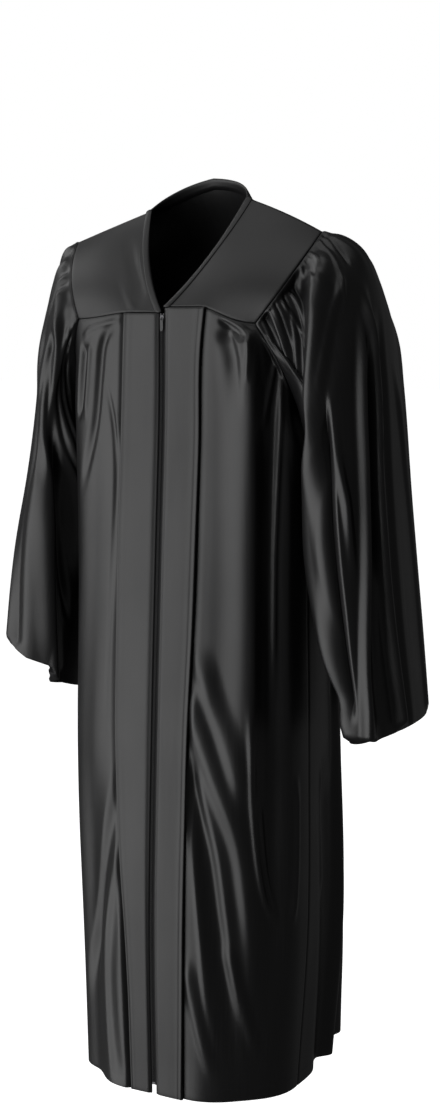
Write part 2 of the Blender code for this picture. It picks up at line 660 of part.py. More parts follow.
def make_pull_tab(metal, hinge_y, hinge_z):
    """The pull tab, hanging from the bail by the bar across the top of its window."""
    top = hinge_z + TAB_THICKNESS / 2
    tab = (TAB_WIDTH, TAB_THICKNESS, TAB_LENGTH)
    mesh = block("zip_pull", tab, (0, hinge_y, top - TAB_LENGTH / 2))
    pull = add_object("zip_pull", mesh, metal)
    window = (TAB_WINDOW_WIDTH, 3 * TAB_THICKNESS, TAB_WINDOW_LENGTH)
    window_z = top - TAB_THICKNESS - TAB_WINDOW_LENGTH / 2
    combine(pull, "DIFFERENCE", "pull_window", window, (0, hinge_y, window_z))


remove_startup_objects()
gown = bpy.data.collections.new("graduation_gown")
cutters = bpy.data.collections.new("cutters")
for collection in (gown, cutters):
    bpy.context.scene.collection.children.link(collection)
satin = make_material("gown_satin", SATIN_BLACK, 0.38)
zip_cloth = make_material("zip_tape", TAPE_BLACK, 0.7)
zip_metal = make_material("zip_metal", ZIP_METAL, 0.3, 1.0)

for side_name, shoulder, sleeve_rings in (
    ("left", LEFT_SHOULDER, LEFT_SLEEVE),
    ("right", RIGHT_SHOULDER, RIGHT_SLEEVE),
):
    wall_object(f"front_yoke_{side_name}", front_yoke_grid(shoulder), WALL, satin)
    wall_object(f"front_{side_name}", front_grid(shoulder), WALL, satin)
    wall_object(f"band_{side_name}", band_grid(shoulder), WALL, satin)
    sleeve = sleeve_grid(sleeve_rings, shoulder)
    wall_object(f"sleeve_{side_name}", sleeve, WALL, satin, closed=True)
wall_object("back_yoke", back_yoke_grid(), WALL, satin)
wall_object("back", back_grid(), WALL, satin)
make_tapes_and_chain(zip_cloth)
make_pull_tab(zip_metal, *make_slider(zip_metal))
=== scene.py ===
"""A zip-front graduation gown, dressed over its frame as it hangs filled out by a wearer.

Every cloth piece is a thin satin shell on its solid's form, with its folds given one by one.
Metres, +Z up. The front faces -Y and the wearer's left is +X, as in the frame.
"""

import sys

import json
import logging
import math
from collections.abc import Callable, Sequence
from dataclasses import dataclass
from enum import Enum

import bpy
import numpy as np
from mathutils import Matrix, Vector
from numpy.typing import NDArray

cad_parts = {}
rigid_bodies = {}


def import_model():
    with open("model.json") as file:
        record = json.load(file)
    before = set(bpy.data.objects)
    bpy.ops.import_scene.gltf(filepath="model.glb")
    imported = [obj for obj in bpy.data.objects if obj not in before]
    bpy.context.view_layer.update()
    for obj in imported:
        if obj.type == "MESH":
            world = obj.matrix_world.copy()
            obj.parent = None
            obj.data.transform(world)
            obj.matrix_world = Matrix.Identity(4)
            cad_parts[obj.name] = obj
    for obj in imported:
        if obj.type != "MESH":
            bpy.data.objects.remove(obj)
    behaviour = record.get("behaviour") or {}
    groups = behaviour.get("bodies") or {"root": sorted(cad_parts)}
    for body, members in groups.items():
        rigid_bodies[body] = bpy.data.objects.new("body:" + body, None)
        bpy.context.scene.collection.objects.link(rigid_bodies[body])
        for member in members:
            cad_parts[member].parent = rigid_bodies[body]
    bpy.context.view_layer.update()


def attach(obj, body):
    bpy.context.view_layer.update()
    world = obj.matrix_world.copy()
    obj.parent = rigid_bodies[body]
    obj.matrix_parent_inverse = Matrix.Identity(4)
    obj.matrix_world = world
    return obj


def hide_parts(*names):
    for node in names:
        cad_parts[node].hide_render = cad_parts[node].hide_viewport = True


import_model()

log = logging.getLogger("gown")

Grid = NDArray[np.float64]
Placer = Callable[[Grid], Grid]
Pair = tuple[float, float]
Triple = tuple[float, float, float]
Colour = tuple[float, float, float, float]
Socket = bpy.types.NodeSocket
Material = bpy.types.Material
Piece = bpy.types.Object
FaceTest = Callable[[bpy.types.MeshPolygon], bool]


class Side(Enum):
    """The wearer's two sides, with the sign of x on each."""

    LEFT = 1
    RIGHT = -1


class Held(Enum):
    """How a sheet of cloth is held."""

    HUNG = "hung"
    GATHERED = "gathered"
    FOLDED = "folded"


def smoothstep(low: float, high: float, value: Grid) -> Grid:
    """Ease from 0 below low to 1 above high.

    Args:
        low: Where the rise starts.
        high: Where it ends.
        value: Places to read it at.

    Returns:
        The eased share at each place.
    """
    share = np.clip((np.asarray(value, float) - low) / (high - low), 0.0, 1.0)
    return share * share * (3 - 2 * share)


def unit(vectors: Grid) -> Grid:
    """Return the vectors at length one."""
    vectors = np.asarray(vectors, float)
    return vectors / np.maximum(np.linalg.norm(vectors, axis=-1, keepdims=True), 1e-12)


def eased_between(first: Grid, last: Grid, start: Grid, end: Grid, share: Grid) -> Grid:
    """Interpolate on the cubic that leaves and arrives at two slopes.

    Args:
        first: Values where share is 0.
        last: Values where share is 1.
        start: Slopes at the first values.
        end: Slopes at the last values.
        share: Shares of the way, from 0 to 1.

    Returns:
        The values at the shares.
    """
    rise = last - first
    return first + share * (
        start + share * (3 * rise - 2 * start - end + share * (start + end - 2 * rise))
    )


def table_value(rows: Sequence[object], key: str, column: str, at: Grid) -> Grid:
    """Read a smooth curve through one column of a table.

    Args:
        rows: The table's rows, in order of their key.
        key: The column that places are measured in.
        column: The column to read.
        at: Places along the key column.

    Returns:
        The column's value at each place.
    """
    keys = np.array([getattr(row, key) for row in rows])
    values = np.array([getattr(row, column) for row in rows])
    if keys[0] > keys[-1]:
        keys, values = keys[::-1], values[::-1]
    slopes = np.gradient(values, keys)
    at = np.clip(np.asarray(at, float), keys[0], keys[-1])
    index = np.clip(np.searchsorted(keys, at) - 1, 0, len(keys) - 2)
    span = keys[index + 1] - keys[index]
    share = (at - keys[index]) / span
    start, end = slopes[index] * span, slopes[index + 1] * span
    return eased_between(values[index], values[index + 1], start, end, share)


def bend(start: Grid, control: Grid, end: Grid, share: Grid) -> Grid:
    """Return points on the curve from start to end that leans towards control."""
    share = np.asarray(share, float)[..., None]
    start, control, end = (np.asarray(p, float) for p in (start, control, end))
    return (1 - share) ** 2 * start + 2 * share * (1 - share) * control + share**2 * end


def on_side(points: Grid, side: Side) -> Grid:
    """Return the points, given for the wearer's left, on one side."""
    return np.asarray(points, float) * (side.value, 1.0, 1.0)


def turned(first: Grid, last: Grid, count: int) -> Grid:
    """Return directions that turn evenly from first to last."""
    share = np.linspace(0, 1, count)[:, None]
    return unit((1 - share) * np.asarray(first, float) + share * np.asarray(last, float))


def relaxed(grid: Grid, passes: int) -> Grid:
    """Ease a grid's inside between its four fixed edges.

    Args:
        grid: Rows of points or directions.
        passes: How often it is eased.

    Returns:
        The eased grid.
    """
    grid = grid.copy()
    for _ in range(passes):
        beside = grid[1:-1, :-2] + grid[1:-1, 2:] + grid[:-2, 1:-1] + grid[2:, 1:-1]
        grid[1:-1, 1:-1] = beside / 4
    return grid


def surface_out(points: Grid, closed: bool) -> Grid:
    """Return outward directions square to a grid.

    Args:
        points: Rows from the top down, columns from the wearer's right to left in front.
        closed: Whether the last column meets the first.

    Returns:
        One direction for each point.
    """
    if closed:
        across = np.roll(points, -1, axis=1) - np.roll(points, 1, axis=1)
    else:
        across = np.gradient(points, axis=1)
    return unit(np.cross(across, np.gradient(points, axis=0)))


def sample_grid(points: Grid, row: Grid, column: Grid, closed: bool = False) -> Grid:
    """Read a grid between its points.

    Args:
        points: The grid.
        row: Fractional rows.
        column: Fractional columns.
        closed: Whether the columns go round.

    Returns:
        The points there.
    """
    rows, columns = points.shape[:2]
    r = np.clip(row.astype(int), 0, rows - 2)
    c = np.floor(column).astype(int)
    if not closed:
        c = np.clip(c, 0, columns - 2)
    down, across = (row - r)[:, None], (column - c)[:, None]
    left, right = c % columns, (c + 1) % columns
    upper = points[r, left] * (1 - across) + points[r, right] * across
    lower = points[r + 1, left] * (1 - across) + points[r + 1, right] * across
    return upper * (1 - down) + lower * down


@dataclass(frozen=True)
class Fold:
    """A soft ridge, or a trough if its height is negative, along a path over the cloth.

    The path's places are (degrees, z) on the body and (degrees, along) on a sleeve.
    """

    path: tuple[Pair, ...]
    width: float
    height: float
    crisp: float = 1.3
    lean: float = 0.0
    fade_in: float = 0.2
    fade_out: float = 0.2

    def route(self, samples: int = 60) -> Grid:
        """Return even samples of a smooth curve through the path's places."""
        places = np.array(self.path, float)
        if len(places) == 2:
            return places[0] + np.linspace(0, 1, samples)[:, None] * (places[1] - places[0])
        share = np.linspace(0, len(places) - 1, samples)
        index = np.minimum(share.astype(int), len(places) - 2)
        local = (share - index)[:, None]
        slopes = np.gradient(places, axis=0)
        start, end = slopes[index], slopes[index + 1]
        return eased_between(places[index], places[index + 1], start, end, local)


def fold_lift(points: Grid, out: Grid, folds: Sequence[Fold], place: Placer) -> Grid:
    """Add up how far the folds lift the cloth off a plain surface.

    Args:
        points: The plain surface's points.
        out: Its outward directions.
        folds: The folds to lay on it.
        place: Gives the surface's points at a path's places.

    Returns:
        The lift at each point, in metres.
    """
    flat = points.reshape(-1, 3)
    flat_out = out.reshape(-1, 3)
    lift = np.zeros(len(flat))
    for fold in folds:
        line = place(fold.route())
        reach = fold.width * (1 + abs(fold.lean))
        low, high = line.min(axis=0) - reach, line.max(axis=0) + reach
        near = np.flatnonzero(((flat > low) & (flat < high)).all(axis=1))
        if not len(near):
            continue
        gaps = flat[near, None] - line[None]
        nearest = np.einsum("ijk,ijk->ij", gaps, gaps).argmin(axis=1)
        step = np.gradient(line, axis=0)[nearest]
        pitch = np.linalg.norm(step, axis=1, keepdims=True)
        tangent = step / np.maximum(pitch, 1e-9)
        gap = gaps[np.arange(len(near)), nearest]
        ahead = np.einsum("ij,ij->i", gap, tangent)
        inside = (nearest > 0) | (ahead > 0)
        inside &= (nearest < len(line) - 1) | (ahead < 0)
        ahead = np.where(inside, ahead, 0.0)
        distance = np.linalg.norm(gap - tangent * ahead[:, None], axis=1)
        side = np.sign(np.einsum("ij,ij->i", np.cross(tangent, gap), flat_out[near]))
        width = fold.width * (1 + fold.lean * side)
        share = np.clip(distance / width, 0, 1)
        along = (nearest + ahead / np.maximum(pitch[:, 0], 1e-9)) / (len(line) - 1)
        strength = smoothstep(0, max(fold.fade_in, 1e-6), along)
        strength = strength * (1 - smoothstep(1 - max(fold.fade_out, 1e-6), 1, along))
        lift[near] += fold.height * strength * (0.5 + 0.5 * np.cos(math.pi * share)) ** fold.crisp
    return lift.reshape(points.shape[:-1])


@dataclass(frozen=True)
class Ripple:
    """The faint unevenness of hanging satin, long down the cloth and short across it."""

    height: float
    across: float
    down: float
    seed: float

    def lift(self, across: Grid, down: Grid) -> Grid:
        """Return the lift at places measured in metres over the cloth."""
        total = np.zeros(np.broadcast(across, down).shape)
        for index in range(5):
            turn = self.seed + 2.4 * index
            waves = 1 + 0.43 * index
            wander = 1.6 * np.sin(2 * math.pi * down / self.down * 0.7 + turn * 1.7)
            wave = np.sin(2 * math.pi * waves * across / self.across + wander + turn)
            swell = 0.6 + 0.4 * np.sin(2 * math.pi * down / self.down + 3.1 * turn)
            total = total + wave * swell / (1 + index)
        return self.height * total / 2


@dataclass(frozen=True)
class Shoulder:
    """One shoulder: seam ends, the points its curves lean to, and where the yokes end."""

    side: Side
    neck: Triple
    tip: Triple
    seam_bend: Triple
    front_neck_bend: Triple
    back_neck_bend: Triple
    yoke_z: float
    corner_deg: float
    corner_z: float
    front_armhole_bend: Triple
    back_armhole_bend: Triple


@dataclass(frozen=True)
class Ring:
    """A horizontal ring of the body: half widths, depths and squareness."""

    z: float
    left: float
    right: float
    front: float
    back: float
    squareness: float


@dataclass(frozen=True)
class BandEdge:
    """Distance of the bands' outer edges from the centre front at one height."""

    z: float
    left: float
    right: float


@dataclass(frozen=True)
class SleeveRing:
    """A ring of a sleeve: the points over and under the arm, its middle and half depth."""

    along: float
    outer_x: float
    outer_z: float
    inner_x: float
    inner_z: float
    mid_y: float
    half_depth: float
    tilt: float


LEFT_SHOULDER = Shoulder(
    side=Side.LEFT,
    neck=(0.082, 0.009, 0.005),
    tip=(0.209, 0.000, -0.047),
    seam_bend=(0.148, 0.006, -0.016),
    front_neck_bend=(0.058, -0.057, -0.090),
    back_neck_bend=(0.062, 0.052, 0.033),
    yoke_z=-0.1545,
    corner_deg=60.0,
    corner_z=-0.178,
    front_armhole_bend=(0.206, -0.090, -0.112),
    back_armhole_bend=(0.200, 0.088, -0.095),
)
RIGHT_SHOULDER = Shoulder(
    side=Side.RIGHT,
    neck=(0.082, 0.009, -0.010),
    tip=(0.207, 0.000, -0.054),
    seam_bend=(0.145, 0.006, -0.031),
    front_neck_bend=(0.058, -0.057, -0.095),
    back_neck_bend=(0.064, 0.052, 0.024),
    yoke_z=-0.1625,
    corner_deg=63.0,
    corner_z=-0.172,
    front_armhole_bend=(0.182, -0.080, -0.105),
    back_armhole_bend=(0.200, 0.088, -0.095),
)


@dataclass(frozen=True)
class BodyForm:
    """The surface that the body panels, bands and yoke seams lie on."""

    back_yoke_z: float = -0.160
    back_corner_deg: float = 124.0
    side_seam_deg: float = 90.0
    seam_flat_deg: float = 32.0
    underarm_z: float = -0.300
    hem_z: float = -1.331
    back_hem_rise: float = 0.016
    band_lap: float = 0.010
    sink_depth: float = 0.013
    sink_end_deg: float = 104.0
    centre_gap: float = 0.0042
    seam_gap: float = 0.0003
    rings: tuple[Ring, ...] = (
        Ring(-0.155, 0.213, 0.213, 0.097, 0.118, 2.9),
        Ring(-0.300, 0.194, 0.194, 0.099, 0.138, 2.8),
        Ring(-0.500, 0.189, 0.185, 0.110, 0.168, 2.6),
        Ring(-0.830, 0.193, 0.182, 0.127, 0.206, 2.6),
        Ring(-1.080, 0.193, 0.172, 0.135, 0.234, 2.7),
        Ring(-1.331, 0.177, 0.167, 0.130, 0.252, 2.7),
    )
    band_edges: tuple[BandEdge, ...] = (
        BandEdge(-0.154, 0.070, 0.064),
        BandEdge(-0.210, 0.064, 0.066),
        BandEdge(-0.360, 0.063, 0.070),
        BandEdge(-0.590, 0.061, 0.072),
        BandEdge(-0.770, 0.056, 0.070),
        BandEdge(-0.930, 0.054, 0.061),
        BandEdge(-1.090, 0.053, 0.045),
        BandEdge(-1.325, 0.048, 0.038),
    )

    def point(self, degrees: Grid, z: Grid) -> tuple[Grid, Grid]:
        """Return the plain body's points and outward directions.

        Args:
            degrees: Angles round the body from the centre front, positive on the left.
            z: Heights.

        Returns:
            The points, and the ring's outward direction at each.
        """
        degrees, z = np.broadcast_arrays(np.asarray(degrees, float), np.asarray(z, float))
        angle = np.radians(degrees)
        left = table_value(self.rings, "z", "left", z)
        right = table_value(self.rings, "z", "right", z)
        front = table_value(self.rings, "z", "front", z)
        back = table_value(self.rings, "z", "back", z)
        power = table_value(self.rings, "z", "squareness", z)
        sine, cosine = np.sin(angle), np.cos(angle)
        half_width = np.where(sine > 0, left, right)
        depth = np.where(cosine > 0, front, back)
        radius = (np.abs(sine / half_width) ** power + np.abs(cosine / depth) ** power) ** (
            -1 / power
        )
        x, y = radius * sine, -radius * cosine
        out_x = np.sign(x) * np.abs(x) ** (power - 1) / half_width**power
        out_y = np.sign(y) * np.abs(y) ** (power - 1) / depth**power
        out = unit(np.stack([out_x, out_y, np.zeros_like(x)], -1))
        return np.stack([x, y, z], -1), out

    def top_edge(self, degrees: Grid) -> Grid:
        """Return the height of the body panels' upper edge at these angles."""
        on_left = np.asarray(degrees) > 0
        left, right = LEFT_SHOULDER, RIGHT_SHOULDER
        middle_z = np.where(on_left, left.yoke_z, right.yoke_z)
        corner_z = np.where(on_left, left.corner_z, right.corner_z)
        corner_deg = np.where(on_left, left.corner_deg, right.corner_deg)
        degrees = np.abs(np.asarray(degrees, float))
        flat = (degrees - self.seam_flat_deg) / (corner_deg - self.seam_flat_deg)
        front = middle_z + (corner_z - middle_z) * smoothstep(0, 1, flat)
        front_share = (degrees - corner_deg) / (self.side_seam_deg - corner_deg)
        back_share = (self.back_corner_deg - degrees) / (self.back_corner_deg - self.side_seam_deg)
        front_arm = corner_z + (self.underarm_z - corner_z) * np.sin(
            math.pi / 2 * np.clip(front_share, 0, 1)
        )
        back_arm = self.back_yoke_z + (self.underarm_z - self.back_yoke_z) * np.sin(
            math.pi / 2 * np.clip(back_share, 0, 1)
        )
        return np.select(
            [degrees < corner_deg, degrees < self.side_seam_deg, degrees < self.back_corner_deg],
            [front, front_arm, back_arm],
            self.back_yoke_z,
        )

    def armhole_sink(self, degrees: Grid) -> Grid:
        """Return how far the armhole's lower seam is drawn in at these angles."""
        start = LEFT_SHOULDER.corner_deg
        share = (np.abs(np.asarray(degrees, float)) - start) / (self.sink_end_deg - start)
        return self.sink_depth * np.sin(math.pi * np.clip(share, 0, 1)) ** 2

    def band_edge(self, side: Side, z: Grid) -> Grid:
        """Return the distance of a band's outer edge from the centre front."""
        column = "left" if side is Side.LEFT else "right"
        return table_value(self.band_edges, "z", column, z)

    def front_degrees(self, x: Grid, z: Grid) -> Grid:
        """Return the angle of a point that far from the centre front."""
        return np.degrees(np.arctan2(x, table_value(self.rings, "z", "front", z)))

    def hem(self, degrees: Grid) -> Grid:
        """Return the hem's height at these angles."""
        rise = smoothstep(self.side_seam_deg, 1.8 * self.side_seam_deg, np.abs(degrees))
        return self.hem_z + self.back_hem_rise * rise

    def rows(self, top_z: Grid, degrees: Grid, count: int) -> Grid:
        """Return heights down each column, from under the upper edge to the hem."""
        share = np.linspace(0, 1, count + 1)[:, None] ** 1.25
        start = top_z - self.seam_gap / 2
        return start + share * (self.hem(degrees) - start)

    def place(self, places: Grid) -> Grid:
        """Return the plain body's points at (degrees, z) places."""
        return self.point(places[:, 0], places[:, 1])[0]


BODY = BodyForm()


class NodeMaterial:
    """A node material with its surface shader, and short ways to add nodes to it."""

    def __init__(self, name: str) -> None:
        """Start a material of this name."""
        self.material = bpy.data.materials.new(name)
        self.material.use_nodes = True
        self.tree = self.material.node_tree
        self.surface = self.tree.nodes["Principled BSDF"]

    def node(self, kind: str, **settings: object) -> bpy.types.Node:
        """Add a node and set its properties, and its inputs by name."""
        made = self.tree.nodes.new(kind)
        for name, value in settings.items():
            if hasattr(made, name):
                setattr(made, name, value)
            else:
                made.inputs[name.replace("_", " ")].default_value = value
        return made

    def link(self, start: Socket, end: Socket) -> None:
        """Join two sockets."""
        self.tree.links.new(start, end)

    def places(self, kind: str) -> Socket:
        """Return the coordinates of this kind."""
        return self.node("ShaderNodeTexCoord").outputs[kind]

    def noise(
        self, places: Socket, scale: float, detail: float, roughness: float = 0.5,
        stretch: Triple | None = None,
    ) -> Socket:
        """Add a noise.

        Args:
            places: The coordinates it reads.
            scale: Its scale.
            detail: Its levels of detail.
            roughness: How strong the finer levels are.
            stretch: Scales along each axis, if the coordinates are stretched first.

        Returns:
            Its value's socket.
        """
        if stretch:
            stretched = self.node("ShaderNodeMapping")
            stretched.inputs["Scale"].default_value = stretch
            self.link(places, stretched.inputs["Vector"])
            places = stretched.outputs["Vector"]
        made = self.node("ShaderNodeTexNoise", Scale=scale, Detail=detail, Roughness=roughness)
        self.link(places, made.inputs["Vector"])
        return made.outputs["Fac"]

    def remapped(self, value: Socket, start: Pair = (0.0, 1.0), end: Pair = (0.0, 1.0)) -> Socket:
        """Map a value from one range to another.

        Args:
            value: The value's socket.
            start: The range it comes from.
            end: The range it goes to.

        Returns:
            The result's socket.
        """
        made = self.node("ShaderNodeMapRange", From_Min=start[0], From_Max=start[1],
                         To_Min=end[0], To_Max=end[1])
        self.link(value, made.inputs["Value"])
        return made.outputs["Result"]

    def coloured(self, share: Socket, first: Colour, second: Colour) -> None:
        """Colour the surface with a mix of two colours.

        Args:
            share: The second colour's share.
            first: The first colour.
            second: The second colour.
        """
        mix = self.node("ShaderNodeMix", data_type="RGBA")
        self.link(share, mix.inputs["Factor"])
        mix.inputs["A"].default_value = first
        mix.inputs["B"].default_value = second
        self.link(mix.outputs["Result"], self.surface.inputs["Base Color"])

    def raised(self, height: Socket, strength: float, distance: float) -> None:
        """Raise the surface finely.

        Args:
            height: The height's socket.
            strength: The bump's strength.
            distance: The bump's distance in metres.
        """
        made = self.node("ShaderNodeBump", Strength=strength, Distance=distance)
        self.link(height, made.inputs["Height"])
        self.link(made.outputs["Normal"], self.surface.inputs["Normal"])

    def set(self, **values: float) -> Material:
        """Set the surface shader's own inputs by name, and return the material."""
        for name, value in values.items():
            self.surface.inputs[name.replace("_", " ")].default_value = value
        return self.material


@dataclass(frozen=True)
class Satin:
    """Black polyester satin: a dark ground under a soft gloss, with faint threads down it."""

    name: str
    dark: Colour = (0.0035, 0.0035, 0.0038, 1.0)
    light: Colour = (0.0075, 0.0075, 0.0080, 1.0)
    roughness: Pair = (0.37, 0.45)
    specular: float = 0.62
    streak_scale: Triple = (420.0, 9.0, 1.0)
    thread_scale: Triple = (2400.0, 160.0, 1.0)
    bump: float = 0.00006

    def material(self) -> Material:
        """Build the node material. It reads the cloth's own UV map, which is in metres."""
        made = NodeMaterial(self.name)
        cloth = made.places("UV")
        streaks = made.noise(cloth, 1.0, 4.0, 0.6, self.streak_scale)
        threads = made.noise(cloth, 1.0, 2.0, 0.5, self.thread_scale)
        cloud = made.noise(cloth, 7.0, 3.0)
        made.coloured(made.remapped(streaks, (0.3, 0.7)), self.dark, self.light)
        uneven = made.node("ShaderNodeMath", operation="ADD")
        made.link(cloud, uneven.inputs[0])
        made.link(streaks, uneven.inputs[1])
        rough = made.remapped(uneven.outputs["Value"], (0.7, 1.3), self.roughness)
        made.link(rough, made.surface.inputs["Roughness"])
        height = made.node("ShaderNodeMath", operation="MULTIPLY_ADD")
        made.link(streaks, height.inputs[0])
        height.inputs[1].default_value = 1.6
        made.link(threads, height.inputs[2])
        made.raised(height.outputs["Value"], 0.6, self.bump)
        return made.set(Specular_IOR_Level=self.specular)


@dataclass(frozen=True)
class ZipCloth:
    """Matt black woven tape with a fine rib along it."""

    name: str = "zip_tape_cloth"
    colour: Colour = (0.006, 0.006, 0.006, 1.0)
    raised: Colour = (0.014, 0.014, 0.015, 1.0)
    roughness: float = 0.75
    rib_scale: float = 70.0

    def material(self) -> Material:
        """Build the node material from the tape's UV map, which is in metres."""
        made = NodeMaterial(self.name)
        ribs = made.node("ShaderNodeTexWave", Scale=self.rib_scale, Distortion=0.6)
        made.link(made.places("UV"), ribs.inputs["Vector"])
        made.coloured(ribs.outputs["Fac"], self.colour, self.raised)
        made.raised(ribs.outputs["Fac"], 0.5, 0.0001)
        return made.set(Roughness=self.roughness, Specular_IOR_Level=0.25)


@dataclass(frozen=True)
class Speckled:
    """A finish that a fine noise blends from one tone to another."""

    name: str
    tone: Colour
    second: Colour
    scale: float
    detail: float
    grain: float = 0.5
    shown: Pair | None = None
    roughness: float | Pair = 0.4
    specular: float = 0.5
    metallic: float = 0.0

    def material(self) -> Material:
        """Build the node material, with the noise in the piece's own place."""
        made = NodeMaterial(self.name)
        noise = made.noise(made.places("Object"), self.scale, self.detail, self.grain)
        share = made.remapped(noise, self.shown) if self.shown else noise
        made.coloured(share, self.tone, self.second)
        made.set(Specular_IOR_Level=self.specular, Metallic=self.metallic)
        if isinstance(self.roughness, float):
            return made.set(Roughness=self.roughness)
        rough = made.remapped(noise, end=self.roughness)
        made.link(rough, made.surface.inputs["Roughness"])
        return made.material


@dataclass(frozen=True)
class Thread(Speckled):
    """Black sewing thread with a little shine, twisted."""

    name: str = "sewing_thread"
    tone: Colour = (0.010, 0.010, 0.011, 1.0)
    second: Colour = (0.026, 0.026, 0.028, 1.0)
    scale: float = 2500.0
    detail: float = 1.0
    roughness: float | Pair = 0.42


@dataclass(frozen=True)
class ZipMetal(Speckled):
    """Black-nickel plating of the slider and stops, with faint scuffs."""

    name: str = "zip_black_nickel"
    tone: Colour = (0.055, 0.055, 0.058, 1.0)
    second: Colour = (0.11, 0.11, 0.115, 1.0)
    scale: float = 900.0
    detail: float = 4.0
    grain: float = 0.7
    roughness: float | Pair = (0.18, 0.42)
    metallic: float = 1.0


@dataclass(frozen=True)
class ZipNylon(Speckled):
    """Black moulded nylon of the zip's teeth."""

    name: str = "zip_nylon"
    tone: Colour = (0.008, 0.008, 0.008, 1.0)
    second: Colour = (0.016, 0.016, 0.017, 1.0)
    scale: float = 600.0
    detail: float = 2.0
    roughness: float | Pair = 0.34
    specular: float = 0.22


@dataclass(frozen=True)
class Enamel(Speckled):
    """Black enamel of the pull tab, rubbed to grey in places."""

    name: str = "pull_enamel"
    tone: Colour = (0.010, 0.010, 0.011, 1.0)
    second: Colour = (0.10, 0.10, 0.11, 1.0)
    scale: float = 700.0
    detail: float = 5.0
    grain: float = 0.7
    shown: Pair | None = (0.60, 0.75)
    roughness: float | Pair = 0.28


@dataclass(frozen=True)
class Finishes:
    """The gown's materials, built once."""

    satin: Material
    yoke_satin: Material
    tape: Material
    thread: Material
    metal: Material
    nylon: Material
    enamel: Material

    @classmethod
    def build(cls) -> "Finishes":
        """Build every material."""
        return cls(
            satin=Satin("gown_satin_cloth").material(),
            yoke_satin=Satin("yoke_satin_cloth", roughness=(0.42, 0.50)).material(),
            tape=ZipCloth().material(),
            thread=Thread().material(),
            metal=ZipMetal().material(),
            nylon=ZipNylon().material(),
            enamel=Enamel().material(),
        )


def link_object(name: str, mesh: bpy.types.Mesh, material: Material) -> Piece:
    """Put a mesh in the scene as an object of this name and finish."""
    made = bpy.data.objects.new(name, mesh)
    mesh.materials.append(material)
    bpy.context.scene.collection.objects.link(made)
    return made


def deselect_all() -> None:
    """Leave nothing selected."""
    for other in bpy.context.view_layer.objects:
        other.select_set(False)


def apply_modifiers(obj: Piece) -> None:
    """Apply every modifier of an object, in order."""
    deselect_all()
    obj.select_set(True)
    bpy.context.view_layer.objects.active = obj
    for modifier in list(obj.modifiers):
        bpy.ops.object.modifier_apply(modifier=modifier.name)


def flat_lengths(points: Grid, closed: bool) -> tuple[Grid, Grid]:
    """Measure places over a grid of cloth in metres, across and down.

    Args:
        points: The grid's points.
        closed: Whether the last column meets the first.

    Returns:
        Distance across and distance down at each point. A closed grid has one more column.
    """
    if closed:
        points = np.concatenate([points, points[:, :1]], axis=1)
    middle = points[len(points) // 2]
    steps = np.linalg.norm(np.diff(middle, axis=0), axis=-1)
    across = np.concatenate([[0.0], np.cumsum(steps)])
    falls = np.linalg.norm(np.diff(points, axis=0), axis=-1)
    down = np.concatenate([np.zeros((1, points.shape[1])), np.cumsum(falls, axis=0)])
    return np.broadcast_to(across[None, :], down.shape), down


def cloth_shell(
    name: str,
    points: Grid,
    material: Material,
    thickness: float,
    closed: bool = False,
) -> Piece:
    """Make a thin shell of cloth from a grid of its outer points.

    Args:
        name: The piece's name.
        points: Rows from the top down, columns anticlockwise seen from above.
        material: Its finish.
        thickness: The cloth's thickness, laid inwards.
        closed: Whether the last column meets the first.

    Returns:
        The piece, smooth shaded, with a UV map in metres.
    """
    rows, columns = points.shape[:2]
    spans = columns if closed else columns - 1
    row, column = np.meshgrid(np.arange(rows - 1), np.arange(spans), indexing="ij")
    beside = (column + 1) % columns
    quads = np.stack(
        [row * columns + column, (row + 1) * columns + column,
         (row + 1) * columns + beside, row * columns + beside], -1
    ).reshape(-1, 4)
    mesh = bpy.data.meshes.new(name)
    mesh.from_pydata(points.reshape(-1, 3).tolist(), [], quads.tolist())
    across, down = flat_lengths(points, closed)
    after = column + 1
    corners = np.stack(
        [
            np.stack([across[row, column], down[row, column]], -1),
            np.stack([across[row + 1, column], down[row + 1, column]], -1),
            np.stack([across[row + 1, after], down[row + 1, after]], -1),
            np.stack([across[row, after], down[row, after]], -1),
        ],
        -2,
    )
    layer = mesh.uv_layers.new(name="cloth")
    layer.data.foreach_set("uv", corners.reshape(-1).astype(np.float32))
    mesh.update()
    piece = link_object(name, mesh, material)
    wall = piece.modifiers.new("cloth_wall", "SOLIDIFY")
    wall.thickness = thickness
    wall.offset = -1.0
    wall.use_even_offset = False
    apply_modifiers(piece)
    mesh.shade_smooth()
    return piece


@dataclass(frozen=True)
class Hem:
    """A turned hem: the cloth rolls round and runs back up inside."""

    roll: float = 0.0011
    depth: float = 0.022

    def added_rows(self, points: Grid, out: Grid) -> Grid:
        """Return a grid with the turned hem added below its last row.

        Args:
            points: The grid, whose last row is the fold of the hem.
            out: Outward directions at the last row.

        Returns:
            The longer grid.
        """
        last = points[-1]
        down = unit(points[-1] - points[-4])
        steps = []
        for turn in (30, 60, 90, 120, 150, 180):
            angle = math.radians(turn)
            inward = self.roll * (1 - math.cos(angle))
            below = self.roll * math.sin(angle)
            steps.append(last - out * inward + down * below)
        for share in (0.25, 0.6, 1.0):
            rise = self.depth * share
            steps.append(last - out * (2 * self.roll + 0.0004 * share) - down * rise)
        return np.concatenate([points, np.stack(steps)])


class Edge(Enum):
    """An edge of a grid of cloth."""

    TOP = "top"
    BOTTOM = "bottom"
    FIRST = "first"
    LAST = "last"


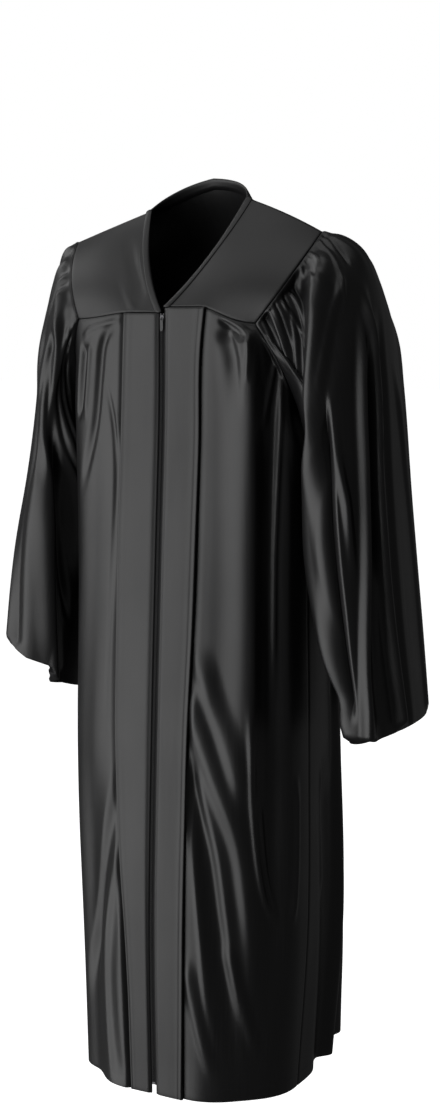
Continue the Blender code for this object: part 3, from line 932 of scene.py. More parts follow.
def line_beside(grid: Grid, edge: Edge, distance: float, closed: bool) -> tuple[Grid, Grid]:
    """Find the line that runs beside an edge of a grid, at a distance over the cloth.

    Args:
        grid: Rows from the top down.
        edge: The edge it runs beside.
        distance: How far from the edge.
        closed: Whether the columns go round.

    Returns:
        The line's points and the outward directions along it.
    """
    out = surface_out(grid, closed)
    if edge in (Edge.FIRST, Edge.LAST):
        grid, out = grid.swapaxes(0, 1), out.swapaxes(0, 1)
    if edge in (Edge.BOTTOM, Edge.LAST):
        grid, out = grid[::-1], out[::-1]
    steps = np.linalg.norm(np.diff(grid, axis=0), axis=-1)
    travelled = np.concatenate([np.zeros((1, grid.shape[1])), np.cumsum(steps, axis=0)])
    row = np.array(
        [np.interp(distance, travelled[:, c], np.arange(len(grid))) for c in range(grid.shape[1])]
    )
    column = np.arange(grid.shape[1], dtype=float)
    line, line_out = (sample_grid(part, row, column, True) for part in (grid, out))
    if closed:
        line, line_out = (np.concatenate([part, part[:1]]) for part in (line, line_out))
    return line, unit(line_out)


def even_frames(path: Grid, out: Grid, pitch: float) -> tuple[Grid, Grid]:
    """Space places evenly along a line, each with its axes.

    Args:
        path: The line's points.
        out: Outward directions along it.
        pitch: From one place to the next.

    Returns:
        Origins, and at each the axes along the line, across it and outwards.
    """
    steps = np.linalg.norm(np.diff(path, axis=0), axis=-1)
    travelled = np.concatenate([[0.0], np.cumsum(steps)])
    count = max(round(travelled[-1] / pitch), 1)
    middles = (np.arange(count) + 0.5) * travelled[-1] / count

    def read(part: Grid, places: Grid) -> Grid:
        """Return the line's points or directions at distances along it."""
        return np.stack([np.interp(places, travelled, part[:, k]) for k in range(3)], -1)

    reach = 0.35 * pitch
    along = unit(read(path, middles + reach) - read(path, middles - reach))
    up = read(out, middles)
    up = unit(up - (up * along).sum(-1, keepdims=True) * along)
    return read(path, middles), np.stack([along, np.cross(up, along), up], 1)


def placed_copies(
    name: str, template: bpy.types.Mesh, origins: Grid, axes: Grid, material: Material
) -> Piece:
    """Copy one small shape to many places, as one piece.

    Args:
        name: The piece's name.
        template: The shape, modelled round the origin.
        origins: Where each copy goes.
        axes: Its x, y and z directions there.
        material: Its finish.

    Returns:
        The piece, smooth shaded.
    """
    shape = np.array([vertex.co for vertex in template.vertices])
    faces = [tuple(polygon.vertices) for polygon in template.polygons]
    points = origins[:, None] + np.einsum("vk,nkj->nvj", shape, axes)
    offsets = range(0, len(origins) * len(shape), len(shape))
    placed = [tuple(first + corner for corner in face) for first in offsets for face in faces]
    mesh = bpy.data.meshes.new(name)
    mesh.from_pydata(points.reshape(-1, 3).tolist(), [], placed)
    mesh.update()
    mesh.shade_smooth()
    return link_object(name, mesh, material)


def take_mesh(obj: Piece) -> bpy.types.Mesh:
    """Return an object's mesh and remove the object."""
    mesh = obj.data
    bpy.data.objects.remove(obj)
    return mesh


def settle(obj: Piece) -> Piece:
    """Apply an object's place and size to its mesh."""
    deselect_all()
    obj.select_set(True)
    bpy.context.view_layer.objects.active = obj
    bpy.ops.object.transform_apply(location=True, rotation=True, scale=True)
    return obj


def new_box(size: Triple, place: Triple = (0.0, 0.0, 0.0)) -> Piece:
    """Add a box.

    Args:
        size: Its size along each axis.
        place: Where its middle stands.

    Returns:
        The box, active, with its size applied.
    """
    deselect_all()
    bpy.ops.mesh.primitive_cube_add(size=1.0, location=place)
    made = bpy.context.object
    made.scale = size
    return settle(made)


def cut_across(places: Sequence[Triple], normal: Triple) -> None:
    """Cut edges round the active object.

    Args:
        places: A point on each cut's plane.
        normal: The planes' normal.
    """
    bpy.ops.object.mode_set(mode="EDIT")
    for place in places:
        bpy.ops.mesh.select_all(action="SELECT")
        bpy.ops.mesh.bisect(plane_co=place, plane_no=normal)
    bpy.ops.object.mode_set(mode="OBJECT")


def pick_faces(obj: Piece, wanted: FaceTest) -> None:
    """Select the faces that a test picks, and enter edit mode on them.

    Args:
        obj: The object, in object mode.
        wanted: Says whether a face is wanted.
    """
    bpy.context.view_layer.objects.active = obj
    bpy.ops.object.mode_set(mode="EDIT")
    bpy.ops.mesh.select_mode(type="FACE")
    bpy.ops.mesh.select_all(action="DESELECT")
    bpy.ops.object.mode_set(mode="OBJECT")
    for polygon in obj.data.polygons:
        polygon.select = wanted(polygon)
    bpy.ops.object.mode_set(mode="EDIT")


def move_faces(obj: Piece, wanted: FaceTest, offset: Triple) -> None:
    """Move the faces that a test picks.

    Args:
        obj: The object, in object mode.
        wanted: Says whether a face is wanted.
        offset: How far they move.
    """
    pick_faces(obj, wanted)
    bpy.ops.transform.translate(value=offset)
    bpy.ops.object.mode_set(mode="OBJECT")


def resize_faces(obj: Piece, wanted: FaceTest, scale: Triple) -> None:
    """Scale the faces that a test picks, about their middle.

    Args:
        obj: The object, in object mode.
        wanted: Says whether a face is wanted.
        scale: Their scale along each axis.
    """
    pick_faces(obj, wanted)
    bpy.ops.transform.resize(value=scale)
    bpy.ops.object.mode_set(mode="OBJECT")


def rounded(obj: Piece, width: float, segments: int = 2) -> Piece:
    """Round an object's edges with an applied bevel."""
    bevel = obj.modifiers.new("rounded_edges", "BEVEL")
    bevel.width = width
    bevel.segments = segments
    bevel.limit_method = "ANGLE"
    apply_modifiers(obj)
    return obj


def joined(name: str, parts: list[Piece]) -> Piece:
    """Join objects into the first one and name it."""
    deselect_all()
    for part in parts:
        part.select_set(True)
    bpy.context.view_layer.objects.active = parts[0]
    bpy.ops.object.join()
    parts[0].name = name
    parts[0].data.name = name
    return parts[0]


@dataclass(frozen=True)
class Stitching:
    """Rows of lockstitch, each stitch a short arched thread that dips into the cloth."""

    finishes: Finishes
    pitch: float = 0.0031
    length: float = 0.0025
    radius: float = 0.00021
    dip: float = 0.00022

    def stitch(self) -> bpy.types.Mesh:
        """Model one stitch along x."""
        deselect_all()
        bpy.ops.mesh.primitive_uv_sphere_add(segments=6, ring_count=5, radius=self.radius)
        made = bpy.context.object
        made.scale = (1.0, 1.0, self.length / 2 / self.radius)
        made.rotation_euler = (0.0, math.pi / 2, 0.0)
        settle(made)
        ends = 0.28 * self.length
        move_faces(made, lambda face: abs(face.center.x) > ends, (0.0, 0.0, -self.dip))
        return take_mesh(made)

    def beside(
        self, name: str, grid: Grid, edge: Edge, distance: float, closed: bool = False
    ) -> Piece:
        """Stitch a row beside an edge of a piece of cloth.

        Args:
            name: The row's name.
            grid: The cloth's outer points, rows from the top down.
            edge: The edge it follows.
            distance: How far from the edge.
            closed: Whether the cloth goes round.

        Returns:
            The row of stitches.
        """
        line, out = line_beside(grid, edge, distance, closed)
        origins, axes = even_frames(line, out, self.pitch)
        origins = origins + axes[:, 2] * self.radius * 0.35
        row = placed_copies(name, self.stitch(), origins, axes, self.finishes.thread)
        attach(row, "gown")
        return row


@dataclass(frozen=True)
class BodyFolds:
    """The body's folds: broad ones as the solids have them, and finer ones over them."""

    left: tuple[Fold, ...] = (
        Fold(((57, -0.185), (59.5, -0.30), (59, -0.45), (57.5, -0.65), (56, -0.80), (54, -0.98)),
             0.038, 0.0105, lean=-0.5, fade_in=0.04, fade_out=0.3),
        Fold(((67, -0.19), (68, -0.36), (67.5, -0.60), (67, -0.90), (68, -1.25)), 0.034, -0.012,
             fade_in=0.03, fade_out=0.3),
        Fold(((48, -0.80), (54, -1.0), (57, -1.15), (57, -1.42)), 0.088, -0.012, 1.0,
             fade_in=0.3, fade_out=0.01),
        Fold(((71.5, -0.22), (71, -0.36), (69.5, -0.52), (68.5, -0.75)), 0.0085, 0.0045),
        Fold(((69, -0.21), (66.5, -0.272), (63.5, -0.335)), 0.007, 0.0035),
        Fold(((28, -0.635), (36.5, -0.708), (44.5, -0.775), (50.5, -0.84), (53.5, -0.90)),
             0.026, 0.0062, lean=0.2, fade_out=0.3),
        Fold(((23, -0.70), (28.5, -0.752), (39.5, -0.838), (49.5, -0.925), (53.5, -1.01),
              (56.5, -1.115), (58.5, -1.24)),
             0.032, 0.0080, lean=0.25, fade_in=0.12, fade_out=0.35),
        Fold(((21, -0.78), (26, -0.87), (28.8, -0.98), (31.5, -1.08), (35, -1.18), (42, -1.27)),
             0.012, 0.0022, lean=0.2, fade_in=0.1, fade_out=0.3),
        Fold(((21, -1.10), (26.5, -1.17), (32, -1.235), (39.5, -1.305)), 0.018, 0.0046, lean=0.2,
             fade_out=0.3),
        Fold(((42.5, -1.076), (51.0, -1.167), (61.2, -1.267)), 0.018, 0.0040),
        Fold(((23, -0.785), (27, -0.86), (34.5, -0.95), (39, -1.045), (43, -1.135), (47, -1.23),
              (50, -1.33)), 0.024, -0.0098, 1.0, lean=-0.2, fade_in=0.15, fade_out=0.5),
        Fold(((56.5, -0.71), (57.4, -0.897), (62.0, -1.013), (70.0, -1.064)), 0.010, 0.0055),
        Fold(((59.2, -0.852), (63.6, -0.979), (69.5, -1.058)), 0.0075, 0.0040),
        Fold(((79.5, -0.83), (78.8, -0.965), (76.8, -1.07)), 0.011, 0.0050),
        Fold(((41.0, -0.161), (52.2, -0.178), (60.2, -0.202)), 0.0065, 0.0036, fade_in=0.3),
        Fold(((43.2, -0.170), (49.8, -0.183), (55.4, -0.201)), 0.0080, -0.0044, fade_in=0.3),
        Fold(((46, -0.178), (51, -0.21), (53, -0.25), (53.5, -0.32)), 0.019, -0.0060, lean=-0.35,
             fade_out=0.5),
        Fold(((57.5, -0.194), (58.0, -0.215), (57.4, -0.265)), 0.0070, 0.0034),
    )
    right: tuple[Fold, ...] = (
        Fold(((-66, -0.22), (-64, -0.7), (-62, -1.40)), 0.050, 0.005, fade_out=0.02),
        Fold(((-46, -0.78), (-50, -1.0), (-52, -1.2), (-52, -1.42)), 0.056, -0.011, 1.0,
             fade_in=0.4, fade_out=0.01),
        Fold(((-37.5, -0.183), (-45.5, -0.192), (-49.5, -0.211), (-51.5, -0.250),
              (-53.8, -0.310), (-56, -0.35), (-59.5, -0.40), (-63, -0.45)), 0.0135, -0.0064,
             fade_in=0.25, fade_out=0.4),
        Fold(((-36, -0.172), (-46, -0.178), (-55, -0.186), (-61, -0.200)), 0.0065, 0.0030,
             fade_in=0.3),
        Fold(((-56, -0.205), (-57.8, -0.247), (-61, -0.33)), 0.008, 0.0032),
        Fold(((-59.5, -0.205), (-62.5, -0.255), (-66, -0.33)), 0.011, -0.0065),
        Fold(((-49.2, -0.250), (-44.2, -0.298), (-40.4, -0.35), (-38.4, -0.42), (-38, -0.58),
              (-38, -0.80)), 0.0085, -0.0028, fade_in=0.3, fade_out=0.4),
        Fold(((-22, -0.80), (-26, -0.866), (-32.5, -0.945), (-37.5, -1.012), (-45.5, -1.098),
              (-53, -1.17), (-58, -1.26)), 0.027, -0.0085, 1.1, lean=0.2, fade_in=0.3,
             fade_out=0.3),
        Fold(((-20.5, -0.93), (-26, -1.02), (-28.5, -1.09), (-30.5, -1.16), (-29.5, -1.25),
              (-26, -1.34)), 0.021, -0.0042, 1.1, lean=0.2, fade_in=0.25, fade_out=0.1),
        Fold(((-22, -0.80), (-23.5, -1.0), (-24, -1.2), (-24, -1.42)), 0.055, 0.0065, 1.0,
             fade_in=0.4, fade_out=0.01),
    )
    back: tuple[Fold, ...] = (
        Fold(((108, -0.80), (113, -1.1), (121, -1.45)), 0.050, -0.012, fade_out=0.02),
        Fold(((103.5, -0.82), (103.2, -0.94), (104, -1.06)), 0.012, 0.004),
        Fold(((-96, -0.55), (-98, -1.0), (-100, -1.45)), 0.040, -0.009, fade_out=0.02),
    )
    flutes: tuple[Fold, ...] = (
        Fold(((180.5, -0.165), (179, -0.6), (181, -1.42)), 0.021, 0.017, 1.1,
             fade_in=0.12, fade_out=0.01),
        Fold(((161, -0.165), (160, -0.5), (163, -1.42)), 0.020, 0.015, 1.1,
             fade_in=0.15, fade_out=0.01),
        Fold(((142.5, -0.165), (141, -0.7), (144, -1.42)), 0.022, 0.017, 1.1,
             fade_in=0.10, fade_out=0.01),
        Fold(((123, -0.20), (122, -0.6), (125, -1.42)), 0.020, 0.014, 1.1,
             fade_in=0.22, fade_out=0.01),
        Fold(((199, -0.165), (201, -0.5), (198, -1.42)), 0.020, 0.017, 1.1,
             fade_in=0.14, fade_out=0.01),
        Fold(((219, -0.165), (217.5, -0.6), (220, -1.42)), 0.022, 0.015, 1.1,
             fade_in=0.10, fade_out=0.01),
        Fold(((236, -0.19), (238, -0.7), (236, -1.42)), 0.020, 0.016, 1.1,
             fade_in=0.20, fade_out=0.01),
        Fold(((170, -0.165), (171, -0.30), (170, -0.46)), 0.009, 0.004),
        Fold(((190.5, -0.165), (191, -0.34), (189, -0.60)), 0.010, 0.004),
        Fold(((151, -0.165), (151.5, -0.28), (152, -0.42)), 0.009, 0.004),
        Fold(((209, -0.165), (208, -0.33), (209, -0.52)), 0.010, 0.004),
        Fold(((132, -0.18), (131, -0.35), (132, -0.60)), 0.010, 0.004),
        Fold(((228, -0.18), (229, -0.30), (228, -0.48)), 0.009, 0.004),
    )


@dataclass(frozen=True)
class BodyPanels:
    """Two front panels and the back, hanging from the yokes to the hem."""

    finishes: Finishes
    stitching: Stitching
    thickness: float = 0.0007
    stitch_inset: float = 0.019
    rows: int = 200
    seam_columns: int = 58
    arm_columns: int = 44
    back_columns: int = 128
    seam_drop: float = 0.0011
    seam_width: float = 0.0035
    seam_ramp: float = 0.011
    groove_left: float = 0.0010
    groove_right: float = 0.0042
    groove_width: float = 0.012
    sink_reach: float = 0.075
    girth_radius: float = 0.19
    side_tuck: float = 0.0018
    side_lap_deg: float = 1.3
    yoke_tuck: tuple[Pair, ...] = ((0.0060, 0.0023), (0.0004, 0.0015))
    left_area: float = 0.260
    right_area: float = 0.244
    back_area: float = 0.815
    folds: BodyFolds = BodyFolds()
    hem: Hem = Hem()
    ripple: Ripple = Ripple(0.0005, 0.11, 0.55, 0.7)

    def seam_degrees(self, shoulder: Shoulder, columns: int) -> Grid:
        """Return where a front panel's columns meet the yoke, from under the band out."""
        under = BODY.band_edge(shoulder.side, shoulder.yoke_z) - BODY.band_lap
        start = BODY.front_degrees(under, shoulder.yoke_z)
        return np.linspace(start, shoulder.corner_deg, columns + 1)

    def dressed(
        self, degrees: Grid, z: Grid, folds: Sequence[Fold], edges: Grid
    ) -> tuple[Grid, Grid]:
        """Return a panel's grid with folds and seam edges.

        Args:
            degrees: Angles of the grid's points.
            z: Their heights.
            folds: The folds on this panel.
            edges: Distance of each point from the panel's side edges, in metres.

        Returns:
            The grid, and the outward directions at its hem.
        """
        points, out = BODY.point(degrees, z)
        lift = fold_lift(points, out, folds, BODY.place)
        lift += self.ripple.lift(np.radians(degrees) * self.girth_radius, z)
        below = BODY.top_edge(degrees) - z
        lift *= smoothstep(0.0, self.seam_ramp, below)
        beside = np.abs(points[..., 0])
        off_left = beside - BODY.band_edge(Side.LEFT, z)
        off_right = beside - BODY.band_edge(Side.RIGHT, z)
        off_band = np.where(degrees > 0, off_left, off_right)
        lift *= smoothstep(-BODY.band_lap / 2, BODY.band_lap, off_band)
        groove = np.where(degrees > 0, self.groove_left, self.groove_right)
        in_front = np.abs(degrees) < BODY.seam_flat_deg + 20.0
        lift -= in_front * groove * (1 - smoothstep(0.0, self.groove_width, off_band))
        lift -= BODY.armhole_sink(degrees) * (1 - smoothstep(0.0, self.sink_reach, below))
        nearest = np.minimum(below, edges)
        lift -= self.seam_drop * (1 - smoothstep(0.0, self.seam_width, nearest))
        lift -= self.side_tuck * smoothstep(0.0, 0.0015, -edges)
        return points + out * lift[..., None], out[-1]

    def tucked(self, points: Grid, degrees: Grid, z: Grid, sewn: Grid) -> Grid:
        """Return a panel's grid with its seam allowance turned up under the yoke.

        Args:
            points: The dressed grid, rows from the top down.
            degrees: Angles of its top row.
            z: Heights of its top row.
            sewn: True where the column's top is sewn to a yoke.

        Returns:
            The grid with two more rows on top.
        """
        out = BODY.point(degrees, z)[1]
        share = np.where(sewn, 1.0, 0.1)[:, None]
        up = np.array((0.0, 0.0, 1.0))
        rows = [points[0] + share * (rise * up - drop * out) for rise, drop in self.yoke_tuck]
        return np.concatenate([np.stack(rows), points])

    def front(self, shoulder: Shoulder) -> list[Piece]:
        """Build one front panel."""
        side = shoulder.side
        limit = BODY.side_seam_deg - math.degrees(BODY.seam_gap / 2 / BODY.rings[1].left)
        seam = self.seam_degrees(shoulder, self.seam_columns)
        arm = np.linspace(shoulder.corner_deg, limit, self.arm_columns + 1)[1:]
        arm = np.concatenate([arm, limit + self.side_lap_deg * np.array((0.3, 1.0))])
        top = np.concatenate([seam, arm])
        z = BODY.rows(BODY.top_edge(side.value * top), top, self.rows)
        start = BODY.front_degrees(BODY.band_edge(side, z) - BODY.band_lap, z)
        share = np.linspace(0, 1, self.seam_columns + 1)
        lean = (start - seam[0]) * np.concatenate([1 - share, np.zeros(len(arm))])
        degrees = side.value * (top[None, :] + lean)
        folds = self.folds.left if side is Side.LEFT else self.folds.right
        edges = np.radians(BODY.side_seam_deg - np.abs(degrees)) * self.girth_radius
        points, out = self.dressed(degrees, z, folds, edges)
        sewn = np.arange(len(top)) <= self.seam_columns
        whole = self.tucked(points, degrees[0], z[0], sewn)
        if side is Side.RIGHT:
            points, whole, out = points[:, ::-1], whole[:, ::-1], out[::-1]
        name = f"front_panel_{side.name.lower()}"
        hemmed = self.hem.added_rows(whole, out)
        piece = cloth_shell(name, hemmed, self.finishes.satin, self.thickness)
        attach(piece, "gown")
        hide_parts(f"front_{side.name.lower()}")
        row = f"hem_stitches_{side.name.lower()}"
        return [piece, self.stitching.beside(row, points, Edge.BOTTOM, self.stitch_inset)]

    def back(self) -> list[Piece]:
        """Build the back panel."""
        limit = BODY.side_seam_deg + math.degrees(BODY.seam_gap / 2 / BODY.rings[1].left)
        arm = np.linspace(limit, BODY.back_corner_deg, self.arm_columns + 1)
        middle = np.linspace(BODY.back_corner_deg, 360 - BODY.back_corner_deg, self.back_columns)
        turn = np.concatenate([arm[:-1], middle, 360.0 - arm[-2::-1]])
        signed = np.where(turn > 180.0, turn - 360.0, turn)
        z = BODY.rows(BODY.top_edge(signed), signed, self.rows)
        degrees = np.broadcast_to(signed[None, :], z.shape)
        edges = np.radians(np.abs(degrees) - BODY.side_seam_deg) * self.girth_radius
        flutes = self.folds.flutes + self.folds.back
        points, out = self.dressed(degrees, z, flutes, edges)
        sewn = (turn >= BODY.back_corner_deg) & (turn <= 360 - BODY.back_corner_deg)
        whole = self.tucked(points, degrees[0], z[0], sewn)
        hemmed = self.hem.added_rows(whole, out)
        piece = cloth_shell("back_panel", hemmed, self.finishes.satin, self.thickness)
        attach(piece, "gown")
        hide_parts("back")
        row = self.stitching.beside("hem_stitches_back", points, Edge.BOTTOM, self.stitch_inset)
        return [piece, row]


@dataclass(frozen=True)
class Yokes:
    """Front yokes and back yoke: smooth panels over the chest and shoulders."""

    finishes: Finishes
    stitching: Stitching
    thickness: float = 0.0009
    stitch_inset: float = 0.0034
    columns_each: int = 5
    band_columns: int = 3
    seam_columns: int = 9
    rise: int = 66
    back_columns: int = 110
    bulge_front: float = 0.007
    bulge_back: float = 0.014
    passes: int = 300
    edge_drop: float = 0.0010
    edge_width: float = 0.0022
    shoulder_up: Triple = (0.36, 0.0, 0.93)
    back_neck_centre: Triple = (0.0, 0.054, 0.036)
    back_neck_out: Triple = (0.0, 0.95, 0.30)
    v_half_gap: float = 0.0025
    left_area: float = 0.0271
    right_area: float = 0.0244
    back_area: float = 0.077
    right_folds: tuple[Fold, ...] = (
        Fold(((0.13, 0.05), (0.15, 0.30), (0.19, 0.55), (0.24, 0.80)), 0.015, -0.0034, 1.0,
             fade_in=0.3, fade_out=0.4),
        Fold(((0.24, 0.02), (0.27, 0.20), (0.32, 0.42)), 0.011, 0.0012, 1.0, fade_out=0.5),
    )

    def armhole_edges(self, shoulder: Shoulder, count: int) -> tuple[tuple[Grid, Grid], ...]:
        """Return the front and back yoke's edge along one armhole, from corner to tip."""
        side = shoulder.side
        share = np.linspace(0, 1, count + 1)
        corners = (
            (side.value * shoulder.corner_deg, shoulder.corner_z, shoulder.front_armhole_bend),
            (side.value * BODY.back_corner_deg, BODY.back_yoke_z, shoulder.back_armhole_bend),
        )
        edges = []
        for degrees, z, control in corners:
            corner, out = BODY.point(degrees, z)
            points = bend(corner, on_side(control, side), on_side(shoulder.tip, side), share)
            edges.append((points, turned(out, on_side(self.shoulder_up, side), count + 1)))
        return tuple(edges)

    def patch(self, bottom: tuple, top: tuple, inner: tuple, outer: tuple, bulge: float) -> tuple:
        """Fill four edge curves, each given with its outward directions.

        Args:
            bottom: The lower edge, from inner to outer.
            top: The upper edge, from inner to outer.
            inner: The inner edge, from bottom to top.
            outer: The outer edge, from bottom to top.
            bulge: How far the middle stands out.

        Returns:
            The patch's points and outward directions, rows from the bottom up.
        """
        across = np.linspace(0, 1, len(bottom[0]))[None, :, None]
        up = np.linspace(0, 1, len(inner[0]))[:, None, None]
        filled = []
        for b, t, i, o in zip(bottom, top, inner, outer):
            ruled_up = (1 - up) * b[None] + up * t[None]
            ruled_across = (1 - across) * i[:, None] + across * o[:, None]
            corners = (1 - up) * ((1 - across) * b[0] + across * b[-1]) + up * (
                (1 - across) * t[0] + across * t[-1]
            )
            filled.append(ruled_up + ruled_across - corners)
        points = relaxed(filled[0], self.passes)
        out = unit(relaxed(filled[1], self.passes))
        rise = bulge * np.sin(math.pi * up) * np.sin(math.pi * np.clip(across, 0, 1)) ** 0.5
        return points + out * rise, out

    def dressed(self, points: Grid, out: Grid, folds: Sequence[Fold]) -> Grid:
        """Return a yoke's grid from the top down, with its folds and rolled seam edges.

        Args:
            points: The patch's points, rows from the bottom up.
            out: Its outward directions.
            folds: Folds, with their places as shares across and up.

        Returns:
            The dressed grid, rows from the top down.
        """
        rows, columns = points.shape[:2]

        def place(places: Grid) -> Grid:
            """Return the patch's points at (across, up) shares."""
            column = np.clip(places[:, 0], 0, 1) * (columns - 1)
            row = np.clip(places[:, 1], 0, 1) * (rows - 1)
            return sample_grid(points, row, column)

        lift = fold_lift(points, out, folds, place)
        down = np.linalg.norm(points - points[0], axis=-1)
        up = np.linalg.norm(points - points[-1], axis=-1)
        away = np.minimum(down, up)
        away = np.minimum(away, np.linalg.norm(points - points[:, -1:], axis=-1))
        lift -= self.edge_drop * (1 - smoothstep(0.0, self.edge_width, away))
        return (points + out * lift[..., None])[::-1]

    def front_surface(self, shoulder: Shoulder) -> tuple[Grid, Grid]:
        """Return one front yoke's points and directions, rows from the bottom up."""
        side = shoulder.side
        under = BODY.band_edge(side, shoulder.yoke_z) - BODY.band_lap
        panel_start = BODY.front_degrees(under, shoulder.yoke_z)
        panel = np.linspace(
            panel_start, shoulder.corner_deg, self.seam_columns * self.columns_each + 1
        )
        start = BODY.front_degrees(self.v_half_gap, shoulder.yoke_z)
        first = np.linspace(start, panel[0], self.band_columns * self.columns_each + 1)
        degrees = side.value * np.concatenate([first, panel[1:]])
        bottom = BODY.point(degrees, BODY.top_edge(degrees) + BODY.seam_gap / 2)
        share = np.linspace(0, 1, len(degrees))
        shift = np.array((0.0, -BODY.seam_gap / 2, 0.0))
        seam = bend(shoulder.neck, shoulder.seam_bend, shoulder.tip, share)
        top = on_side(seam, side) + shift
        upward = on_side(self.shoulder_up, side)
        top_out = turned(upward, upward, len(degrees))
        up = np.linspace(0, 1, self.rise)
        inner = bend(bottom[0][0], on_side(shoulder.front_neck_bend, side), top[0], up)
        inner_out = turned(bottom[1][0], upward, self.rise)
        edge, edge_out = self.armhole_edges(shoulder, self.rise - 1)[0]
        edge = edge + up[:, None] * shift + (1 - up[:, None]) * (0.0, 0.0, BODY.seam_gap / 2)
        return self.patch(
            bottom, (top, top_out), (inner, inner_out), (edge, edge_out), self.bulge_front
        )

    def front(self, shoulder: Shoulder) -> list[Piece]:
        """Build one front yoke."""
        points, out = self.front_surface(shoulder)
        folds = self.right_folds if shoulder.side is Side.RIGHT else ()
        grid = self.dressed(points, out, folds)
        if shoulder.side is Side.RIGHT:
            grid = grid[:, ::-1]
        name = f"front_yoke_shell_{shoulder.side.name.lower()}"
        piece = cloth_shell(name, grid, self.finishes.yoke_satin, self.thickness)
        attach(piece, "gown")
        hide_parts(f"front_yoke_{shoulder.side.name.lower()}")
        row = f"yoke_stitches_{shoulder.side.name.lower()}"
        return [piece, self.stitching.beside(row, grid, Edge.BOTTOM, self.stitch_inset)]

    def back_surface(self) -> tuple[Grid, Grid]:
        """Return the back yoke's points and directions, rows from the bottom up."""
        half = self.back_columns // 2
        degrees = np.linspace(BODY.back_corner_deg, 360 - BODY.back_corner_deg, 2 * half + 1)
        seam_z = np.full_like(degrees, BODY.back_yoke_z + BODY.seam_gap / 2)
        bottom = BODY.point(degrees, seam_z)
        seam_columns = half * 5 // 11
        seam_share = np.linspace(0, 1, seam_columns + 1)
        neck_share = np.linspace(0, 1, half - seam_columns + 1)
        up = np.linspace(0, 1, self.rise)[:, None]
        shift = np.array((0.0, BODY.seam_gap / 2, 0.0))
        tops, outs, sides = [], [], []
        for shoulder in (LEFT_SHOULDER, RIGHT_SHOULDER):
            seam = bend(shoulder.tip, shoulder.seam_bend, shoulder.neck, seam_share)
            neck = bend(shoulder.neck, shoulder.back_neck_bend, self.back_neck_centre, neck_share)
            tops.append(on_side(np.concatenate([seam[:-1], neck]), shoulder.side) + shift)
            turn = turned(self.shoulder_up, self.back_neck_out, len(neck))
            flat = turned(self.shoulder_up, self.shoulder_up, seam_columns)
            outs.append(on_side(np.concatenate([flat, turn]), shoulder.side))
            edge, edge_out = self.armhole_edges(shoulder, self.rise - 1)[1]
            moved = edge + up * shift + (1 - up) * (0.0, 0.0, BODY.seam_gap / 2)
            sides.append((moved, edge_out))
        top = np.concatenate([tops[0], tops[1][-2::-1]])
        top_out = np.concatenate([outs[0], outs[1][-2::-1]])
        return self.patch(bottom, (top, top_out), sides[0], sides[1], self.bulge_back)

    def back(self) -> list[Piece]:
        """Build the back yoke."""
        points, out = self.back_surface()
        grid = self.dressed(points, out, ())
        piece = cloth_shell("back_yoke_shell", grid, self.finishes.yoke_satin, self.thickness)
        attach(piece, "gown")
        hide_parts("back_yoke")
        row = self.stitching.beside("yoke_stitches_back", grid, Edge.BOTTOM, self.stitch_inset)
        return [piece, row]


@dataclass(frozen=True)
class Bands:
    """The two flat front bands beside the zip, each with a pressed outer pleat."""

    finishes: Finishes
    stitching: Stitching
    thickness: float = 0.0007
    stitch_inset: float = 0.0065
    columns: int = 26
    rows: int = 220
    lift: float = 0.0034
    edge_lift: float = 0.0044
    edge_from: float = 0.72
    inner_drop: float = 0.0025
    fold_under: float = 0.010
    crease: Triple = (0.0011, 0.915, 0.028)
    top_drop: float = 0.0014
    top_width: float = 0.0025
    left_area: float = 0.081
    right_area: float = 0.084

    def build(self, shoulder: Shoulder) -> list[Piece]:
        """Build one band."""
        side = shoulder.side
        top = np.full(1, shoulder.yoke_z - BODY.seam_gap / 2)
        z = BODY.rows(top, np.zeros(1), self.rows)
        width = BODY.band_edge(side, z)
        share = np.linspace(0, 1, self.columns + 1)[None, :]
        x = BODY.centre_gap + (width - BODY.centre_gap) * share
        rise = self.lift + (self.edge_lift - self.lift) * smoothstep(self.edge_from, 1.0, share)
        rise = rise - self.inner_drop * (1 - smoothstep(0.0, 0.15, share))
        depth, at, breadth = self.crease
        rise = rise - depth * np.exp(-(((share - at) / breadth) ** 2))
        rise = np.broadcast_to(rise, x.shape)
        turns = np.radians((35, 70, 110, 145, 180))[None, :]
        roll = (self.edge_lift - 0.0012) / 2
        under_x = width + roll * np.sin(turns)
        under_rise = self.edge_lift - roll * (1 - np.cos(turns))
        back_share = np.array([[0.35, 1.0]])
        back_x = width - self.fold_under * back_share
        back_rise = np.broadcast_to(self.edge_lift - 2 * roll, back_x.shape)
        x = np.concatenate([x, under_x, back_x], axis=1)
        under_rise = np.broadcast_to(under_rise, under_x.shape)
        rise = np.concatenate([rise, under_rise, back_rise], axis=1)
        points, out = BODY.point(side.value * BODY.front_degrees(x, z), np.broadcast_to(z, x.shape))
        sway = 0.0006 * np.sin(z * 9.0 + 0.6 * side.value) + 0.0004 * np.sin(z * 23.0 + 1.0)
        rise = rise + sway * smoothstep(0.2, 0.8, np.clip(x / width, 0, 1))
        below = shoulder.yoke_z - z
        rise = rise - self.top_drop * (1 - smoothstep(0.0, self.top_width, below))
        points = points + out * rise[..., None]
        face = points[:, : self.columns + 1]
        points = Hem().added_rows(points, out[-1])
        if side is Side.RIGHT:
            points, face = points[:, ::-1], face[:, ::-1]
        name = f"front_band_{side.name.lower()}"
        piece = cloth_shell(name, points, self.finishes.yoke_satin, self.thickness)
        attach(piece, "gown")
        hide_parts(f"band_{side.name.lower()}")
        row = f"zip_stitches_{side.name.lower()}"
        inner = Edge.FIRST if side is Side.LEFT else Edge.LAST
        return [piece, self.stitching.beside(row, face, inner, self.stitch_inset)]


